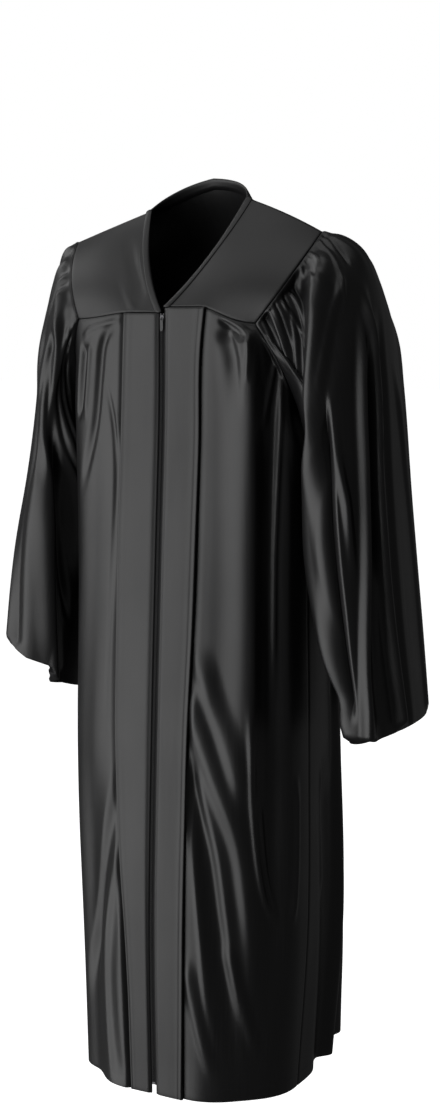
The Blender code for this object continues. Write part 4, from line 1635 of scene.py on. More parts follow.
LEFT_SLEEVE_RINGS = (
    SleeveRing(0.00, 0.209, -0.047, 0.1945, -0.300, 0.000, 0.104, 0.000),
    SleeveRing(0.05, 0.238, -0.053, 0.2010, -0.320, 0.004, 0.110, 0.000),
    SleeveRing(0.11, 0.268, -0.075, 0.2030, -0.345, 0.008, 0.110, 0.000),
    SleeveRing(0.20, 0.291, -0.140, 0.2040, -0.378, 0.016, 0.108, 0.000),
    SleeveRing(0.33, 0.302, -0.240, 0.2040, -0.430, 0.024, 0.109, 0.000),
    SleeveRing(0.54, 0.312, -0.410, 0.2050, -0.530, 0.034, 0.116, 0.000),
    SleeveRing(0.77, 0.324, -0.590, 0.2250, -0.645, 0.045, 0.116, 0.004),
    SleeveRing(1.00, 0.341, -0.758, 0.2550, -0.780, 0.052, 0.100, 0.006),
)
RIGHT_SLEEVE_RINGS = (
    SleeveRing(0.00, 0.207, -0.054, 0.1945, -0.300, 0.000, 0.104, 0.000),
    SleeveRing(0.05, 0.227, -0.062, 0.2010, -0.320, 0.002, 0.106, 0.000),
    SleeveRing(0.11, 0.241, -0.094, 0.2030, -0.345, 0.006, 0.103, 0.000),
    SleeveRing(0.20, 0.251, -0.150, 0.2040, -0.378, 0.012, 0.099, 0.000),
    SleeveRing(0.33, 0.257, -0.240, 0.2040, -0.425, 0.020, 0.098, -0.004),
    SleeveRing(0.54, 0.274, -0.400, 0.2060, -0.520, 0.025, 0.108, -0.014),
    SleeveRing(0.77, 0.302, -0.545, 0.2200, -0.630, 0.030, 0.112, -0.030),
    SleeveRing(1.00, 0.331, -0.682, 0.2400, -0.752, 0.035, 0.105, -0.040),
)


@dataclass(frozen=True)
class SleeveFolds:
    """Folds of both sleeves, as (degrees, along) from the point over the arm by the front."""

    left: tuple[Fold, ...] = (
        Fold(((24, 0.006), (35, 0.034), (56, 0.080), (80, 0.155), (107, 0.242), (132, 0.36),
              (139, 0.53), (134, 0.663), (124, 0.787), (113, 0.90), (106, 1.0)),
             0.0250, 0.0130, 1.1, lean=0.25, fade_in=0.12, fade_out=0.02),
        Fold(((84, 0.22), (85, 0.36), (83, 0.478), (83, 0.608), (84, 0.735), (90, 0.862),
              (97, 0.96)), 0.0260, -0.0215, 1.0, lean=-0.6, fade_in=0.2, fade_out=0.12),
        Fold(((27, 0.111), (41.4, 0.133), (54.3, 0.150), (69, 0.185), (83, 0.226), (97, 0.28)),
             0.010, 0.0032, fade_in=0.15, fade_out=0.35),
        Fold(((74, 0.30), (71.4, 0.401), (67.1, 0.469), (63, 0.52), (61.4, 0.60), (60, 0.70)),
             0.0110, 0.0085, fade_in=0.5, fade_out=0.4),
        Fold(((25, 0.18), (36, 0.27), (41.5, 0.37), (42.5, 0.502), (47, 0.648), (57, 0.792),
              (70, 0.95), (74, 1.0)), 0.0125, 0.0138, 1.2, fade_in=0.2, fade_out=0.01),
        Fold(((64, 0.85), (70, 0.93), (74, 1.0)), 0.022, 0.0080, 1.0, fade_in=0.7, fade_out=0.01),
        Fold(((31, 0.27), (33, 0.39), (34.5, 0.5), (38, 0.65), (45, 0.79), (56, 0.95)),
             0.010, -0.0060, fade_in=0.2),
        Fold(((17, 0.15), (25, 0.25), (27, 0.379), (29.5, 0.516), (29.5, 0.663),
              (29, 0.819), (29, 1.0)), 0.0130, 0.0180, 1.1, fade_out=0.02),
        Fold(((8, 0.20), (10, 0.45), (11, 0.75), (12, 1.0)), 0.014, -0.0060, fade_out=0.02),
        Fold(((350, 0.30), (338, 0.5), (330, 0.7), (328, 1.0)), 0.016, 0.0055, fade_out=0.02),
        Fold(((226, 0.10), (228, 0.5), (230, 1.0)), 0.030, -0.006, fade_out=0.02),
        Fold(((258, 0.08), (255, 0.5), (252, 1.0)), 0.028, 0.009, fade_out=0.02),
        Fold(((290, 0.10), (288, 0.5), (292, 1.0)), 0.028, -0.008, fade_out=0.02),
        Fold(((318, 0.12), (310, 0.5), (306, 1.0)), 0.020, 0.006, fade_out=0.02),
        Fold(((244, 0.30), (242, 0.6), (240, 1.0)), 0.012, -0.005, fade_out=0.02),
        Fold(((150, 0.35), (152, 0.7), (150, 1.0)), 0.016, -0.004, fade_out=0.02),
        Fold(((200, 0.30), (204, 0.7), (200, 1.0)), 0.018, 0.004, fade_out=0.02),
    )
    right: tuple[Fold, ...] = (
        Fold(((64, 0.016), (88, 0.074), (101, 0.147), (112, 0.262), (115, 0.40), (117, 0.50),
              (127, 0.704), (138, 0.93), (142, 1.0)), 0.020, 0.0110, lean=0.35, fade_in=0.05,
             fade_out=0.01),
        Fold(((106, 0.35), (112, 0.50), (120, 0.66), (131, 0.85), (138, 1.0)), 0.045, 0.0170, 1.0,
             lean=0.25, fade_in=0.4, fade_out=0.01),
        Fold(((84, 0.08), (98, 0.16), (112, 0.25), (124, 0.38), (129, 0.50), (140, 0.65),
              (153, 0.77), (161, 0.88)), 0.014, -0.0110, fade_in=0.1),
        Fold(((126, 0.12), (146, 0.19), (155, 0.30), (158, 0.42), (163, 0.54), (169, 0.66),
              (174, 0.78)), 0.027, 0.0240, 1.0, lean=0.35, fade_in=0.2, fade_out=0.35),
        Fold(((84, 0.10), (90, 0.20), (96, 0.34), (98, 0.50)), 0.011, -0.0045),
        Fold(((104, 0.05), (124, 0.12), (146, 0.21), (160, 0.32)), 0.0060, -0.0042),
        Fold(((112, 0.13), (130, 0.21), (148, 0.31), (160, 0.44)), 0.0060, -0.0040),
        Fold(((98, 0.015), (120, 0.06), (144, 0.13), (160, 0.22)), 0.0060, -0.0040),
        Fold(((60, 0.10), (70, 0.30), (76, 0.60), (92, 1.0)), 0.018, -0.0060, fade_out=0.02),
        Fold(((30, 0.20), (40, 0.45), (56, 0.74), (66, 1.0)), 0.016, 0.006, fade_out=0.02),
        Fold(((10, 0.20), (16, 0.5), (30, 1.0)), 0.018, -0.006, fade_out=0.02),
        Fold(((340, 0.2), (350, 0.6), (355, 1.0)), 0.020, 0.006, fade_out=0.02),
        Fold(((226, 0.10), (228, 0.5), (226, 1.0)), 0.028, -0.006, fade_out=0.02),
        Fold(((258, 0.08), (257, 0.5), (254, 1.0)), 0.026, 0.008, fade_out=0.02),
        Fold(((290, 0.10), (289, 0.5), (287, 1.0)), 0.026, -0.008, fade_out=0.02),
        Fold(((318, 0.12), (314, 0.5), (312, 1.0)), 0.020, 0.006, fade_out=0.02),
        Fold(((200, 0.30), (204, 0.7), (200, 1.0)), 0.018, 0.004, fade_out=0.02),
    )
    left_gathers: tuple[Fold, ...] = (
        Fold(((42, 0.006), (65, 0.050), (91, 0.118), (113, 0.180), (130, 0.245)), 0.0330, -0.0230,
             1.0, lean=-0.45, fade_in=0.15),
        Fold(((62.9, 0.010), (71.4, 0.055), (81, 0.095), (93, 0.133), (106, 0.182)), 0.0045,
             0.0036, fade_in=0.1),
        Fold(((77, 0.010), (87.1, 0.074), (104, 0.127), (120, 0.17)), 0.0045, 0.0034, fade_in=0.1),
        Fold(((77.1, 0.020), (85.7, 0.085), (92, 0.137), (103, 0.179)), 0.0042, 0.0032,
             fade_in=0.1),
        Fold(((50, 0.0), (62, 0.04), (74, 0.09)), 0.0045, -0.0030, fade_in=0.02),
        Fold(((41, 0.0), (52, 0.04), (64, 0.08)), 0.0045, 0.0030, fade_in=0.02),
        Fold(((33, 0.0), (42, 0.035), (52, 0.07)), 0.0045, -0.0030, fade_in=0.02),
        Fold(((26, 0.0), (33, 0.03), (42, 0.06)), 0.0040, 0.0026, fade_in=0.02),
        Fold(((12, 0.0), (22, 0.05), (34, 0.11), (44, 0.18)), 0.0060, 0.0030, fade_in=0.02),
        Fold(((3, 0.0), (12, 0.05), (24, 0.12)), 0.0060, -0.0030, fade_in=0.02),
        Fold(((99, 0.0), (103, 0.03), (109, 0.07), (118, 0.13)), 0.0170, -0.0120, 1.0,
             fade_in=0.02, fade_out=0.4),
        Fold(((93, 0.0), (98, 0.04), (106, 0.09), (116, 0.15)), 0.0042, 0.0034, fade_in=0.02),
        Fold(((104, 0.0), (108, 0.04), (115, 0.09), (124, 0.15)), 0.0042, 0.0034, fade_in=0.02),
        Fold(((84, 0.0), (90, 0.04), (98, 0.08), (108, 0.13)), 0.0042, -0.0032, fade_in=0.02),
        Fold(((70, 0.0), (78, 0.035), (88, 0.075)), 0.0042, -0.0032, fade_in=0.02),
    )


@dataclass(frozen=True)
class Sleeves:
    """Two bell sleeves, gathered into the armholes."""

    finishes: Finishes
    stitching: Stitching
    thickness: float = 0.0007
    stitch_inset: float = 0.016
    rows: int = 132
    edge_segments: int = 91
    lower_columns: int = 56
    gather_count: int = 21
    gather_height: float = 0.0022
    gather_end: float = 0.17
    calm_deg: float = 94.0
    calm_spread: float = 36.0
    cuff_drops: tuple[Pair, ...] = (
        (60.0, 0.010), (110.0, 0.004), (134.0, -0.008), (143.0, 0.020), (158.0, 0.010),
        (190.0, 0.0), (360.0, 0.0),
    )
    underarm_in: Triple = (-0.8, 0.0, -0.6)
    left_area: float = 0.415
    right_area: float = 0.328
    folds: SleeveFolds = SleeveFolds()
    hem: Hem = Hem(depth=0.018)
    ripple: Ripple = Ripple(0.0005, 0.10, 0.40, 2.1)

    def armhole(self, shoulder: Shoulder, yokes: Yokes) -> tuple[Grid, Grid]:
        """Return the armhole's loop from the shoulder tip by the front, and directions."""
        side = shoulder.side
        (front, front_out), (back, back_out) = yokes.armhole_edges(shoulder, self.edge_segments)
        share = np.linspace(0, 1, self.lower_columns + 1)
        span = BODY.side_seam_deg - shoulder.corner_deg
        down = side.value * (shoulder.corner_deg + span * share)
        back_span = BODY.back_corner_deg - BODY.side_seam_deg
        up = side.value * (BODY.side_seam_deg + back_span * share)
        lower_front, front_way = BODY.point(down, BODY.top_edge(down))
        lower_back, back_way = BODY.point(up, BODY.top_edge(up))
        lower_front = lower_front - front_way * BODY.armhole_sink(down)[:, None]
        lower_back = lower_back - back_way * BODY.armhole_sink(up)[:, None]
        points = np.concatenate([front[::-1], lower_front[1:], lower_back[1:], back[1:-1]])
        underarm = on_side(self.underarm_in, side)
        out = np.concatenate(
            [
                front_out[::-1],
                turned(front_out[0], underarm, self.lower_columns + 1)[1:],
                turned(underarm, back_out[0], self.lower_columns + 1)[1:],
                back_out[1:-1],
            ]
        )
        return points + np.array((side.value * BODY.seam_gap, 0.0, 0.0)), out

    def plain(self, shoulder: Shoulder, yokes: Yokes) -> tuple[Grid, Grid, Grid, Grid]:
        """Return the plain sleeve's points and directions, for the wearer's left.

        Args:
            shoulder: The shoulder it hangs from.
            yokes: The yokes whose edges it meets.

        Returns:
            Points, directions, shares along the sleeve and degrees round it.
        """
        rings = LEFT_SLEEVE_RINGS if shoulder.side is Side.LEFT else RIGHT_SLEEVE_RINGS
        loop, loop_out = (on_side(part, shoulder.side) for part in self.armhole(shoulder, yokes))
        degrees = np.arange(len(loop)) * 360.0 / len(loop)
        along = np.linspace(0, 1, self.rows + 1) ** 1.35
        cosine, sine = np.cos(np.radians(degrees)), np.sin(np.radians(degrees))

        def column(name: str) -> Grid:
            """Return one column of the rings' table down the sleeve."""
            return table_value(rings, "along", name, along)

        outer = np.stack([column("outer_x"), column("mid_y"), column("outer_z")], -1)
        inner = np.stack([column("inner_x"), column("mid_y"), column("inner_z")], -1)
        middle, reach = (outer + inner) / 2, (outer - inner) / 2
        forward = np.stack([0 * along, -column("half_depth"), -column("tilt")], -1)
        ring = (
            middle[:, None]
            + cosine[None, :, None] * reach[:, None]
            + sine[None, :, None] * forward[:, None]
        )
        nearness = (1 - smoothstep(0.0, 0.30, along))[:, None, None]
        points = ring + (loop - ring[0])[None] * nearness
        head = (1 - smoothstep(0.0, 0.12, along))[:, None, None]
        out = unit(surface_out(points, True) * (1 - head) + loop_out[None] * head)
        return points, out, along, degrees

    def build(self, shoulder: Shoulder, yokes: Yokes) -> list[Piece]:
        """Build one sleeve."""
        points, out, along, degrees = self.plain(shoulder, yokes)
        left = shoulder.side is Side.LEFT
        folds = self.folds.left if left else self.folds.right

        def place(places: Grid) -> Grid:
            """Return the plain sleeve's points at (degrees, along) places."""
            row = np.interp(places[:, 1], along, np.arange(len(along)))
            return sample_grid(points, row, places[:, 0] * len(degrees) / 360.0, True)

        lift = fold_lift(points, out, folds, place) * smoothstep(0.0, 0.10, along)[:, None]
        underarm = smoothstep(40.0, 80.0, np.abs(degrees - 180.0))[None, :]
        wander = 7 * np.sin(np.radians(degrees * 3.0 + 20.0)) + 5 * np.sin(
            np.radians(degrees * 5.0 + 80.0)
        )
        gathers = np.cos(np.radians(degrees + wander) * self.gather_count)[None, :]
        uneven = 0.75 + 0.35 * np.sin(np.radians(degrees * 2.3 + 40.0))[None, :]
        off_front = (degrees[None, :] - self.calm_deg) / self.calm_spread
        calm = 1 - 0.8 * left * np.exp(-(off_front**2))
        reach = smoothstep(0.0, 0.03, along) * (1 - smoothstep(0.06, self.gather_end, along))
        lift += self.gather_height * gathers * uneven * underarm * calm * reach[:, None]
        if left:
            fine = fold_lift(points, out, self.folds.left_gathers, place)
            lift += fine * smoothstep(0.0, 0.012, along)[:, None]
        lift += self.ripple.lift(
            np.radians(degrees)[None, :] * 0.1, along[:, None] * 0.7
        ) * smoothstep(0.05, 0.3, along)[:, None]
        down = np.linalg.norm(points - points[0], axis=-1)
        lift -= 0.0011 * (1 - smoothstep(0.0, 0.0035, down))
        points = points + out * lift[..., None]
        if not left:
            places, drops = zip(*self.cuff_drops)
            drop = np.interp(degrees, places, drops)[None, :]
            points[..., 2] -= drop * smoothstep(0.86, 1.0, along)[:, None]
        hemmed = self.hem.added_rows(points, out[-1])
        if not left:
            points, hemmed = (on_side(part, Side.RIGHT)[:, ::-1] for part in (points, hemmed))
        name = f"sleeve_shell_{shoulder.side.name.lower()}"
        piece = cloth_shell(name, hemmed, self.finishes.satin, self.thickness, closed=True)
        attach(piece, "gown")
        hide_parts(f"sleeve_{shoulder.side.name.lower()}")
        row = f"cuff_stitches_{shoulder.side.name.lower()}"
        return [
            piece, self.stitching.beside(row, points, Edge.BOTTOM, self.stitch_inset, closed=True)
        ]


@dataclass(frozen=True)
class NeckBinding:
    """The narrow rolled binding round the neck, topstitched along its edge."""

    finishes: Finishes
    stitching: Stitching
    width: float = 0.0085
    inside_width: float = 0.016
    thickness: float = 0.0006

    def strip(self, edge: Grid, out: Grid, over: Grid) -> Grid:
        """Return the binding's grid along one neck edge.

        Args:
            edge: The yoke's neck edge.
            out: Outward directions there.
            over: Directions over the cloth, away from the neck.

        Returns:
            Columns along the edge, rows from the inside round to the outside.
        """
        profile = (
            (self.inside_width, -0.0016), (self.inside_width * 0.5, -0.0018), (0.004, -0.0019),
            (0.0016, -0.0019), (0.0002, -0.0015), (-0.0008, -0.0006), (-0.0010, 0.0003),
            (-0.0004, 0.0011), (0.0010, 0.0017), (0.003, 0.0019), (0.0055, 0.0016),
            (self.width - 0.0012, 0.0009), (self.width - 0.0003, 0.0007), (self.width, 0.0002),
        )
        return np.stack([edge + over * along + out * lift for along, lift in profile])

    def build(self, yokes: Yokes) -> list[Piece]:
        """Build the binding in three parts: both fronts and the back neck."""
        made = []
        for shoulder in (LEFT_SHOULDER, RIGHT_SHOULDER):
            points, out = yokes.front_surface(shoulder)
            edge, edge_out = points[:, 0], out[:, 0]
            over = unit(points[:, 3] - points[:, 0])
            grid = self.strip(edge, edge_out, over)
            if shoulder.side is Side.RIGHT:
                grid = grid[:, ::-1]
            made += self.dress(f"neck_binding_{shoulder.side.name.lower()}", grid[::-1])
        points, out = yokes.back_surface()
        half = yokes.back_columns // 2
        first = half * 5 // 11
        keep = slice(first, 2 * half + 1 - first)
        edge, edge_out = points[-1, keep], out[-1, keep]
        over = unit(points[-4, keep] - points[-1, keep])
        grid = self.strip(edge, edge_out, over)
        made += self.dress("neck_binding_back", grid[:, ::-1])
        return made

    def dress(self, name: str, grid: Grid) -> list[Piece]:
        """Make one part of the binding, with its row of stitches."""
        piece = cloth_shell(name, grid, self.finishes.yoke_satin, self.thickness)
        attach(piece, "gown")
        edge = Edge.BOTTOM if name.endswith("back") else Edge.TOP
        row = name.replace("binding", "stitches")
        return [piece, self.stitching.beside(row, grid, edge, 0.0016)]


@dataclass(frozen=True)
class ZipChain:
    """The zip's two tapes, its interlocked teeth and its stops."""

    finishes: Finishes
    tape_inner: float = 0.00015
    tape_outer: float = 0.0150
    tape_top_z: float = -0.1640
    end_z: float = -1.318
    chain_top_z: float = -0.1685
    tooth_pitch: float = 0.0026
    tooth_reach: float = 0.0031
    tooth_overlap: float = 0.0007
    tooth_height: float = 0.00125
    tooth_depth: float = 0.0015

    def centre_line(self, x: float, top_z: float, lift: float) -> tuple[Grid, Grid]:
        """Return points down the front at a distance from the centre, and directions."""
        z = np.linspace(top_z, self.end_z, 240)
        points, out = BODY.point(BODY.front_degrees(np.full_like(z, x), z), z)
        return points + out * lift, out

    def tape(self, side: Side) -> Piece:
        """Build one tape, with a thicker corded edge at the teeth."""
        x = np.linspace(self.tape_inner, self.tape_outer, 10)
        columns = []
        for place in x:
            cord = 0.0004 * math.exp(-(((place - 0.0030) / 0.0008) ** 2))
            columns.append(self.centre_line(side.value * place, self.tape_top_z, cord)[0])
        points = np.stack(columns, 1)
        if side is Side.RIGHT:
            points = points[:, ::-1]
        name = f"zip_tape_cloth_{side.name.lower()}"
        piece = cloth_shell(name, points, self.finishes.tape, 0.0006)
        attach(piece, "gown")
        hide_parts(f"zip_tape_{side.name.lower()}")
        return piece

    def tooth(self) -> bpy.types.Mesh:
        """Model one tooth along y, with a waist and a broader head towards -y."""
        made = new_box((self.tooth_height, self.tooth_reach, self.tooth_depth))
        neck = (0.0, -self.tooth_reach * 0.22, 0.0)
        cut_across([neck], (0, 1, 0))
        for vertex in made.data.vertices:
            vertex.select = abs(vertex.co.y - neck[1]) < 1e-5
        bpy.ops.object.mode_set(mode="EDIT")
        bpy.ops.mesh.select_mode(type="VERT")
        bpy.ops.transform.resize(value=(0.62, 1.0, 0.9))
        bpy.ops.object.mode_set(mode="OBJECT")
        resize_faces(made, lambda face: face.normal.y > 0.9, (0.8, 1.0, 0.7))
        return take_mesh(rounded(made, self.tooth_height * 0.16, 1))

    def teeth(self, side: Side) -> Piece:
        """Build one side's row of teeth, half a pitch from the other's."""
        centre = self.tooth_reach / 2 - self.tooth_overlap
        shift = 0.0 if side is Side.LEFT else self.tooth_pitch / 2
        line, out = self.centre_line(side.value * centre, self.chain_top_z - shift, 0.0002)
        origins, axes = even_frames(line, out, self.tooth_pitch)
        axes = axes.copy()
        if side is Side.RIGHT:
            axes[:, :2] = -axes[:, :2]
        name = f"zip_teeth_{side.name.lower()}"
        piece = placed_copies(name, self.tooth(), origins, axes, self.finishes.nylon)
        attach(piece, "gown")
        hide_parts("zip_chain")
        return piece

    def stop(self, name: str, x: float, z: float, width: float, length: float) -> Piece:
        """Build a stop clamped over the tape's edge.

        Args:
            name: The piece's name.
            x: Its middle's distance from the centre.
            z: Its middle's height.
            width: Its width across the zip.
            length: Its length along the zip.

        Returns:
            The stop, hollowed along its front.
        """
        depth = -float(BODY.point(np.array(0.0), np.array(z))[0][1])
        made = new_box((width, 0.0018, length), (x, -depth - 0.0002, z))
        pick_faces(made, lambda face: face.normal.y < -0.9)
        bpy.ops.mesh.inset(thickness=width * 0.22)
        bpy.ops.transform.translate(value=(0.0, 0.00025, 0.0))
        bpy.ops.object.mode_set(mode="OBJECT")
        rounded(made, 0.00022)
        made.name = name
        made.data.materials.append(self.finishes.metal)
        made.data.shade_smooth()
        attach(made, "gown")
        return made

    def build(self) -> list[Piece]:
        """Build tapes, teeth and stops."""
        made = []
        for side in Side:
            made += [self.tape(side), self.teeth(side)]
            top_stop = f"zip_top_stop_{side.name.lower()}"
            made.append(self.stop(top_stop, side.value * 0.0022, -0.1648, 0.0016, 0.0021))
        made.append(self.stop("zip_bottom_stop", 0.0, -1.3155, 0.0052, 0.0034))
        return made


@dataclass(frozen=True)
class ZipSlider:
    """The slider, its bail and the pull tab that hangs from it."""

    finishes: Finishes
    top_z: float = -0.1660
    width: float = 0.0074
    length: float = 0.0095
    plate: float = 0.0011
    gap: float = 0.0006
    chain: float = 0.0016
    bail_radius: float = 0.0015
    bail_wire: float = 0.00042
    tab_length: float = 0.0190
    tab_width: float = 0.0050
    tab_thickness: float = 0.0008
    hinge_y: float = -0.09989
    hinge_z: float = -0.17075

    def plate_at(self, y: float) -> Piece:
        """Model one plate: waisted below, with a bevelled rim."""
        middle = self.top_z - self.length / 2
        made = new_box((self.width, self.plate, self.length), (0.0, y, middle))
        cut_across([(0, y, middle - 0.0008)], (0, 0, 1))
        resize_faces(made, lambda face: face.normal.z < -0.9, (0.66, 1.0, 1.0))
        resize_faces(made, lambda face: face.normal.z > 0.9, (0.72, 1.0, 1.0))
        return rounded(made, 0.0003, 3)

    def post(self, front_y: float, back_y: float) -> Piece:
        """Model the post between the plates, pointed downwards."""
        deselect_all()
        place = (0.0, (front_y + back_y) / 2, self.top_z - 0.0011)
        bpy.ops.mesh.primitive_cylinder_add(
            vertices=16, radius=0.0011, depth=back_y - front_y, location=place,
            rotation=(math.pi / 2, 0.0, 0.0),
        )
        made = settle(bpy.context.object)
        move_faces(
            made, lambda face: face.normal.z < -0.4 and abs(face.normal.y) < 0.5,
            (0.0, 0.0, -0.0007),
        )
        return made

    def bail(self, front_y: float) -> Piece:
        """Model the bail: half a ring, its ends sunk in the front plate."""
        deselect_all()
        place = (0.0, front_y + 0.0001, self.hinge_z)
        bpy.ops.mesh.primitive_torus_add(
            major_radius=self.bail_radius, minor_radius=self.bail_wire, major_segments=28,
            minor_segments=10, location=place, rotation=(0.0, math.pi / 2, 0.0),
        )
        made = settle(bpy.context.object)
        bpy.ops.object.mode_set(mode="EDIT")
        bpy.ops.mesh.select_all(action="SELECT")
        bpy.ops.mesh.bisect(
            plane_co=(0, front_y + 0.0003, 0), plane_no=(0, 1, 0), use_fill=True, clear_outer=True
        )
        bpy.ops.mesh.select_all(action="SELECT")
        bpy.ops.mesh.normals_make_consistent(inside=False)
        bpy.ops.object.mode_set(mode="OBJECT")
        made.data.shade_smooth()
        return made

    def slider(self) -> Piece:
        """Build the slider's body and bail as one piece."""
        middle = self.top_z - self.length / 2
        cloth_y = float(BODY.point(np.array(0.0), np.array(middle))[0][1])
        front_y = cloth_y - self.gap - self.plate / 2
        back_y = cloth_y + self.chain + self.gap + self.plate / 2
        parts = [
            self.plate_at(front_y),
            self.plate_at(back_y),
            self.post(front_y, back_y),
            self.bail(front_y - self.plate / 2),
        ]
        made = joined("zip_slider_body", parts)
        made.data.materials.clear()
        made.data.materials.append(self.finishes.metal)
        made.data.shade_smooth()
        made.data.set_sharp_from_angle(angle=math.radians(40))
        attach(made, "gown")
        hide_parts("zip_slider")
        return made

    def pull(self) -> Piece:
        """Build the pull tab, with its window, a recessed grip and rounded edges."""
        top = self.hinge_z + self.tab_thickness / 2
        window_z = top - self.tab_thickness - 0.0026
        size = (self.tab_width, self.tab_thickness, self.tab_length)
        made = new_box(size, (0.0, self.hinge_y, top - self.tab_length / 2))
        upper, high, low = window_z - 0.0009, window_z - 0.0030, top - self.tab_length + 0.0030
        cut_across([(0, self.hinge_y, cut) for cut in (upper, high, low)], (0, 0, 1))
        pick_faces(made, lambda face: abs(face.normal.y) > 0.9 and face.center.z > upper)
        bpy.ops.mesh.inset(thickness=0.0010, use_individual=True)
        bpy.ops.mesh.bridge_edge_loops()
        bpy.ops.object.mode_set(mode="OBJECT")
        pick_faces(made, lambda face: abs(face.normal.y) > 0.9 and low < face.center.z < high)
        bpy.ops.mesh.inset(thickness=0.0007, use_individual=True)
        bpy.ops.object.mode_set(mode="OBJECT")
        grip = [face.index for face in made.data.polygons if face.select]
        for turn in (-1, 1):
            move_faces(
                made, lambda face: face.index in grip and face.normal.y * turn > 0.9,
                (0.0, -0.00018 * turn, 0.0),
            )
        resize_faces(made, lambda face: face.normal.z < -0.9, (0.62, 1.0, 1.0))
        rounded(made, 0.00014, 2)
        made.name = "zip_pull_tab"
        made.data.materials.clear()
        made.data.materials.append(self.finishes.enamel)
        made.data.shade_smooth()
        made.data.set_sharp_from_angle(angle=math.radians(40))
        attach(made, "zip_pull")
        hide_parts("zip_pull")
        return made

    def build(self) -> list[Piece]:
        """Build slider and pull."""
        return [self.slider(), self.pull()]


@dataclass(frozen=True)
class SoftLight:
    """A rectangular soft light: its place round the gown, size, aim and radiance."""

    name: str
    azimuth_deg: float
    distance: float
    z: float
    aim_z: float
    width: float
    height: float
    radiance: float


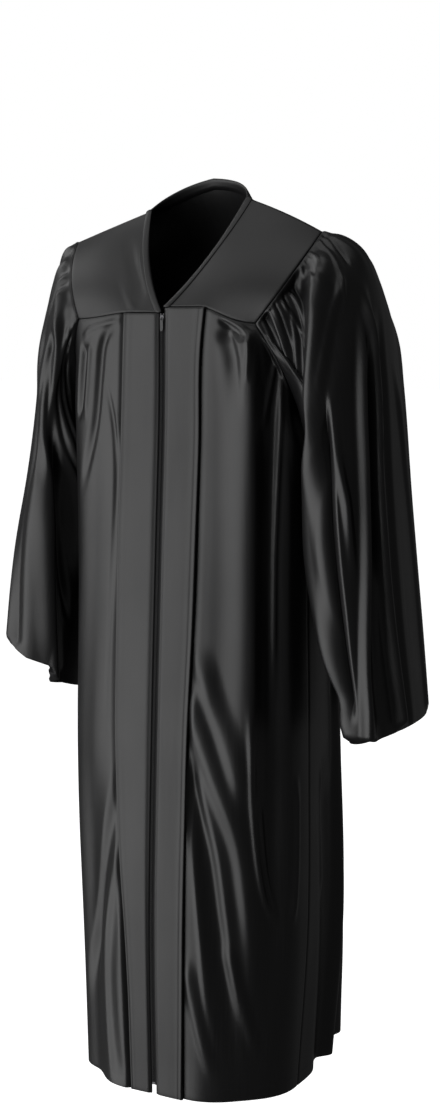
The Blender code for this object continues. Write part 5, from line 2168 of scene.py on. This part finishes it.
@dataclass(frozen=True)
class Studio:
    """A pale floor, broad soft lights from the viewer's left and above, and the camera."""

    azimuth_deg: float = 29.0
    distance: float = 2.8
    offset: float = 0.0361
    height: float = -0.1675
    focal_px: float = 1862.0
    image_height: float = 1109.0
    horizon_px: float = 316.0
    floor_z: float = -1.54
    lights: tuple[SoftLight, ...] = (
        SoftLight("key_softbox", -38.0, 3.4, -1.1, -1.1, 4.2, 4.9, 1.92),
        SoftLight("high_left", -88.0, 3.0, 1.7, -0.1, 2.0, 1.8, 1.8),
        SoftLight("overhead", -20.0, 0.9, 2.4, -0.2, 2.8, 2.6, 0.75),
        SoftLight("back_left_rim", -150.0, 3.6, -0.3, -0.3, 1.6, 4.0, 0.30),
        SoftLight("back_right_rim", 150.0, 3.6, -0.3, -0.3, 1.2, 4.0, 0.07),
    )

    def camera(self) -> None:
        """Place the camera at the photograph's viewing angle."""
        angle = math.radians(self.azimuth_deg)
        right = Vector((math.cos(angle), math.sin(angle), 0))
        back = Vector((math.sin(angle), -math.cos(angle), 0))
        pitch = math.atan((self.image_height / 2 - self.horizon_px) / self.focal_px)
        data = bpy.data.cameras.new("camera")
        data.sensor_width = 36.0
        data.lens = self.focal_px / self.image_height * 36.0
        data.clip_end = 60.0
        camera = bpy.data.objects.new("camera", data)
        camera.location = back * self.distance + right * self.offset + Vector((0, 0, self.height))
        look = -back * math.cos(pitch) + Vector((0, 0, -math.sin(pitch)))
        camera.rotation_euler = look.to_track_quat("-Z", "Y").to_euler()
        bpy.context.scene.collection.objects.link(camera)
        bpy.context.scene.camera = camera

    def floor(self) -> None:
        """Lay the pale floor."""
        bpy.ops.mesh.primitive_plane_add(size=60.0, location=(0, 0, self.floor_z))
        plane = bpy.context.object
        plane.name = "studio_floor"
        made = NodeMaterial("pale_floor")
        made.surface.inputs["Base Color"].default_value = (0.93, 0.93, 0.93, 1)
        made.surface.inputs["Roughness"].default_value = 0.9
        made.surface.inputs["Emission Color"].default_value = (1, 1, 1, 1)
        made.surface.inputs["Emission Strength"].default_value = 1.0
        plane.data.materials.append(made.material)
        plane.visible_glossy = False
        plane.visible_diffuse = False
        plane.visible_shadow = False

    def hang(self, soft: SoftLight) -> None:
        """Hang a soft light where it says, facing its aim on the gown's middle line."""
        data = bpy.data.lights.new(soft.name, "AREA")
        data.shape = "RECTANGLE"
        data.size = soft.width
        data.size_y = soft.height
        data.energy = soft.radiance * math.pi * soft.width * soft.height
        light = bpy.data.objects.new(soft.name, data)
        angle = math.radians(soft.azimuth_deg)
        back = Vector((math.sin(angle), -math.cos(angle), 0))
        light.location = back * soft.distance + Vector((0, 0, soft.z))
        facing = Vector((0, 0, soft.aim_z)) - light.location
        light.rotation_euler = facing.to_track_quat("-Z", "Y").to_euler()
        bpy.context.scene.collection.objects.link(light)

    def world(self) -> None:
        """Give a white surround that the camera sees, and that lights the gown only a little."""
        world = bpy.data.worlds.new("studio_surround")
        bpy.context.scene.world = world
        world.use_nodes = True
        tree = world.node_tree
        background = tree.nodes["Background"]
        background.inputs["Color"].default_value = (1, 1, 1, 1)
        background.inputs["Strength"].default_value = 0.075
        seen = tree.nodes.new("ShaderNodeBackground")
        seen.inputs["Color"].default_value = (1, 1, 1, 1)
        seen.inputs["Strength"].default_value = 1.0
        path = tree.nodes.new("ShaderNodeLightPath")
        mix = tree.nodes.new("ShaderNodeMixShader")
        tree.links.new(path.outputs["Is Camera Ray"], mix.inputs["Fac"])
        tree.links.new(background.outputs["Background"], mix.inputs[1])
        tree.links.new(seen.outputs["Background"], mix.inputs[2])
        tree.links.new(mix.outputs["Shader"], tree.nodes["World Output"].inputs["Surface"])

    def build(self) -> None:
        """Set up the whole studio."""
        self.camera()
        self.floor()
        self.world()
        for soft in self.lights:
            self.hang(soft)
        bpy.context.scene.view_settings.view_transform = "Standard"


def main() -> None:
    """Build the gown and its studio in order."""
    logging.basicConfig(level=logging.INFO, format="%(name)s: %(message)s", stream=sys.stdout)
    finishes = Finishes.build()
    stitching = Stitching(finishes)
    yokes = Yokes(finishes, stitching)
    panels = BodyPanels(finishes, stitching)
    bands = Bands(finishes, stitching)
    sleeves = Sleeves(finishes, stitching)
    made = [*yokes.back(), *panels.back()]
    for shoulder in (LEFT_SHOULDER, RIGHT_SHOULDER):
        made += yokes.front(shoulder)
        made += panels.front(shoulder)
        made += bands.build(shoulder)
        made += sleeves.build(shoulder, yokes)
    made += NeckBinding(finishes, stitching).build(yokes)
    made += ZipChain(finishes).build()
    made += ZipSlider(finishes).build()
    for piece in made:
        log.info("built %s, %d faces", piece.name, len(piece.data.polygons))
    Studio().build()


if __name__ == "__main__":
    main()
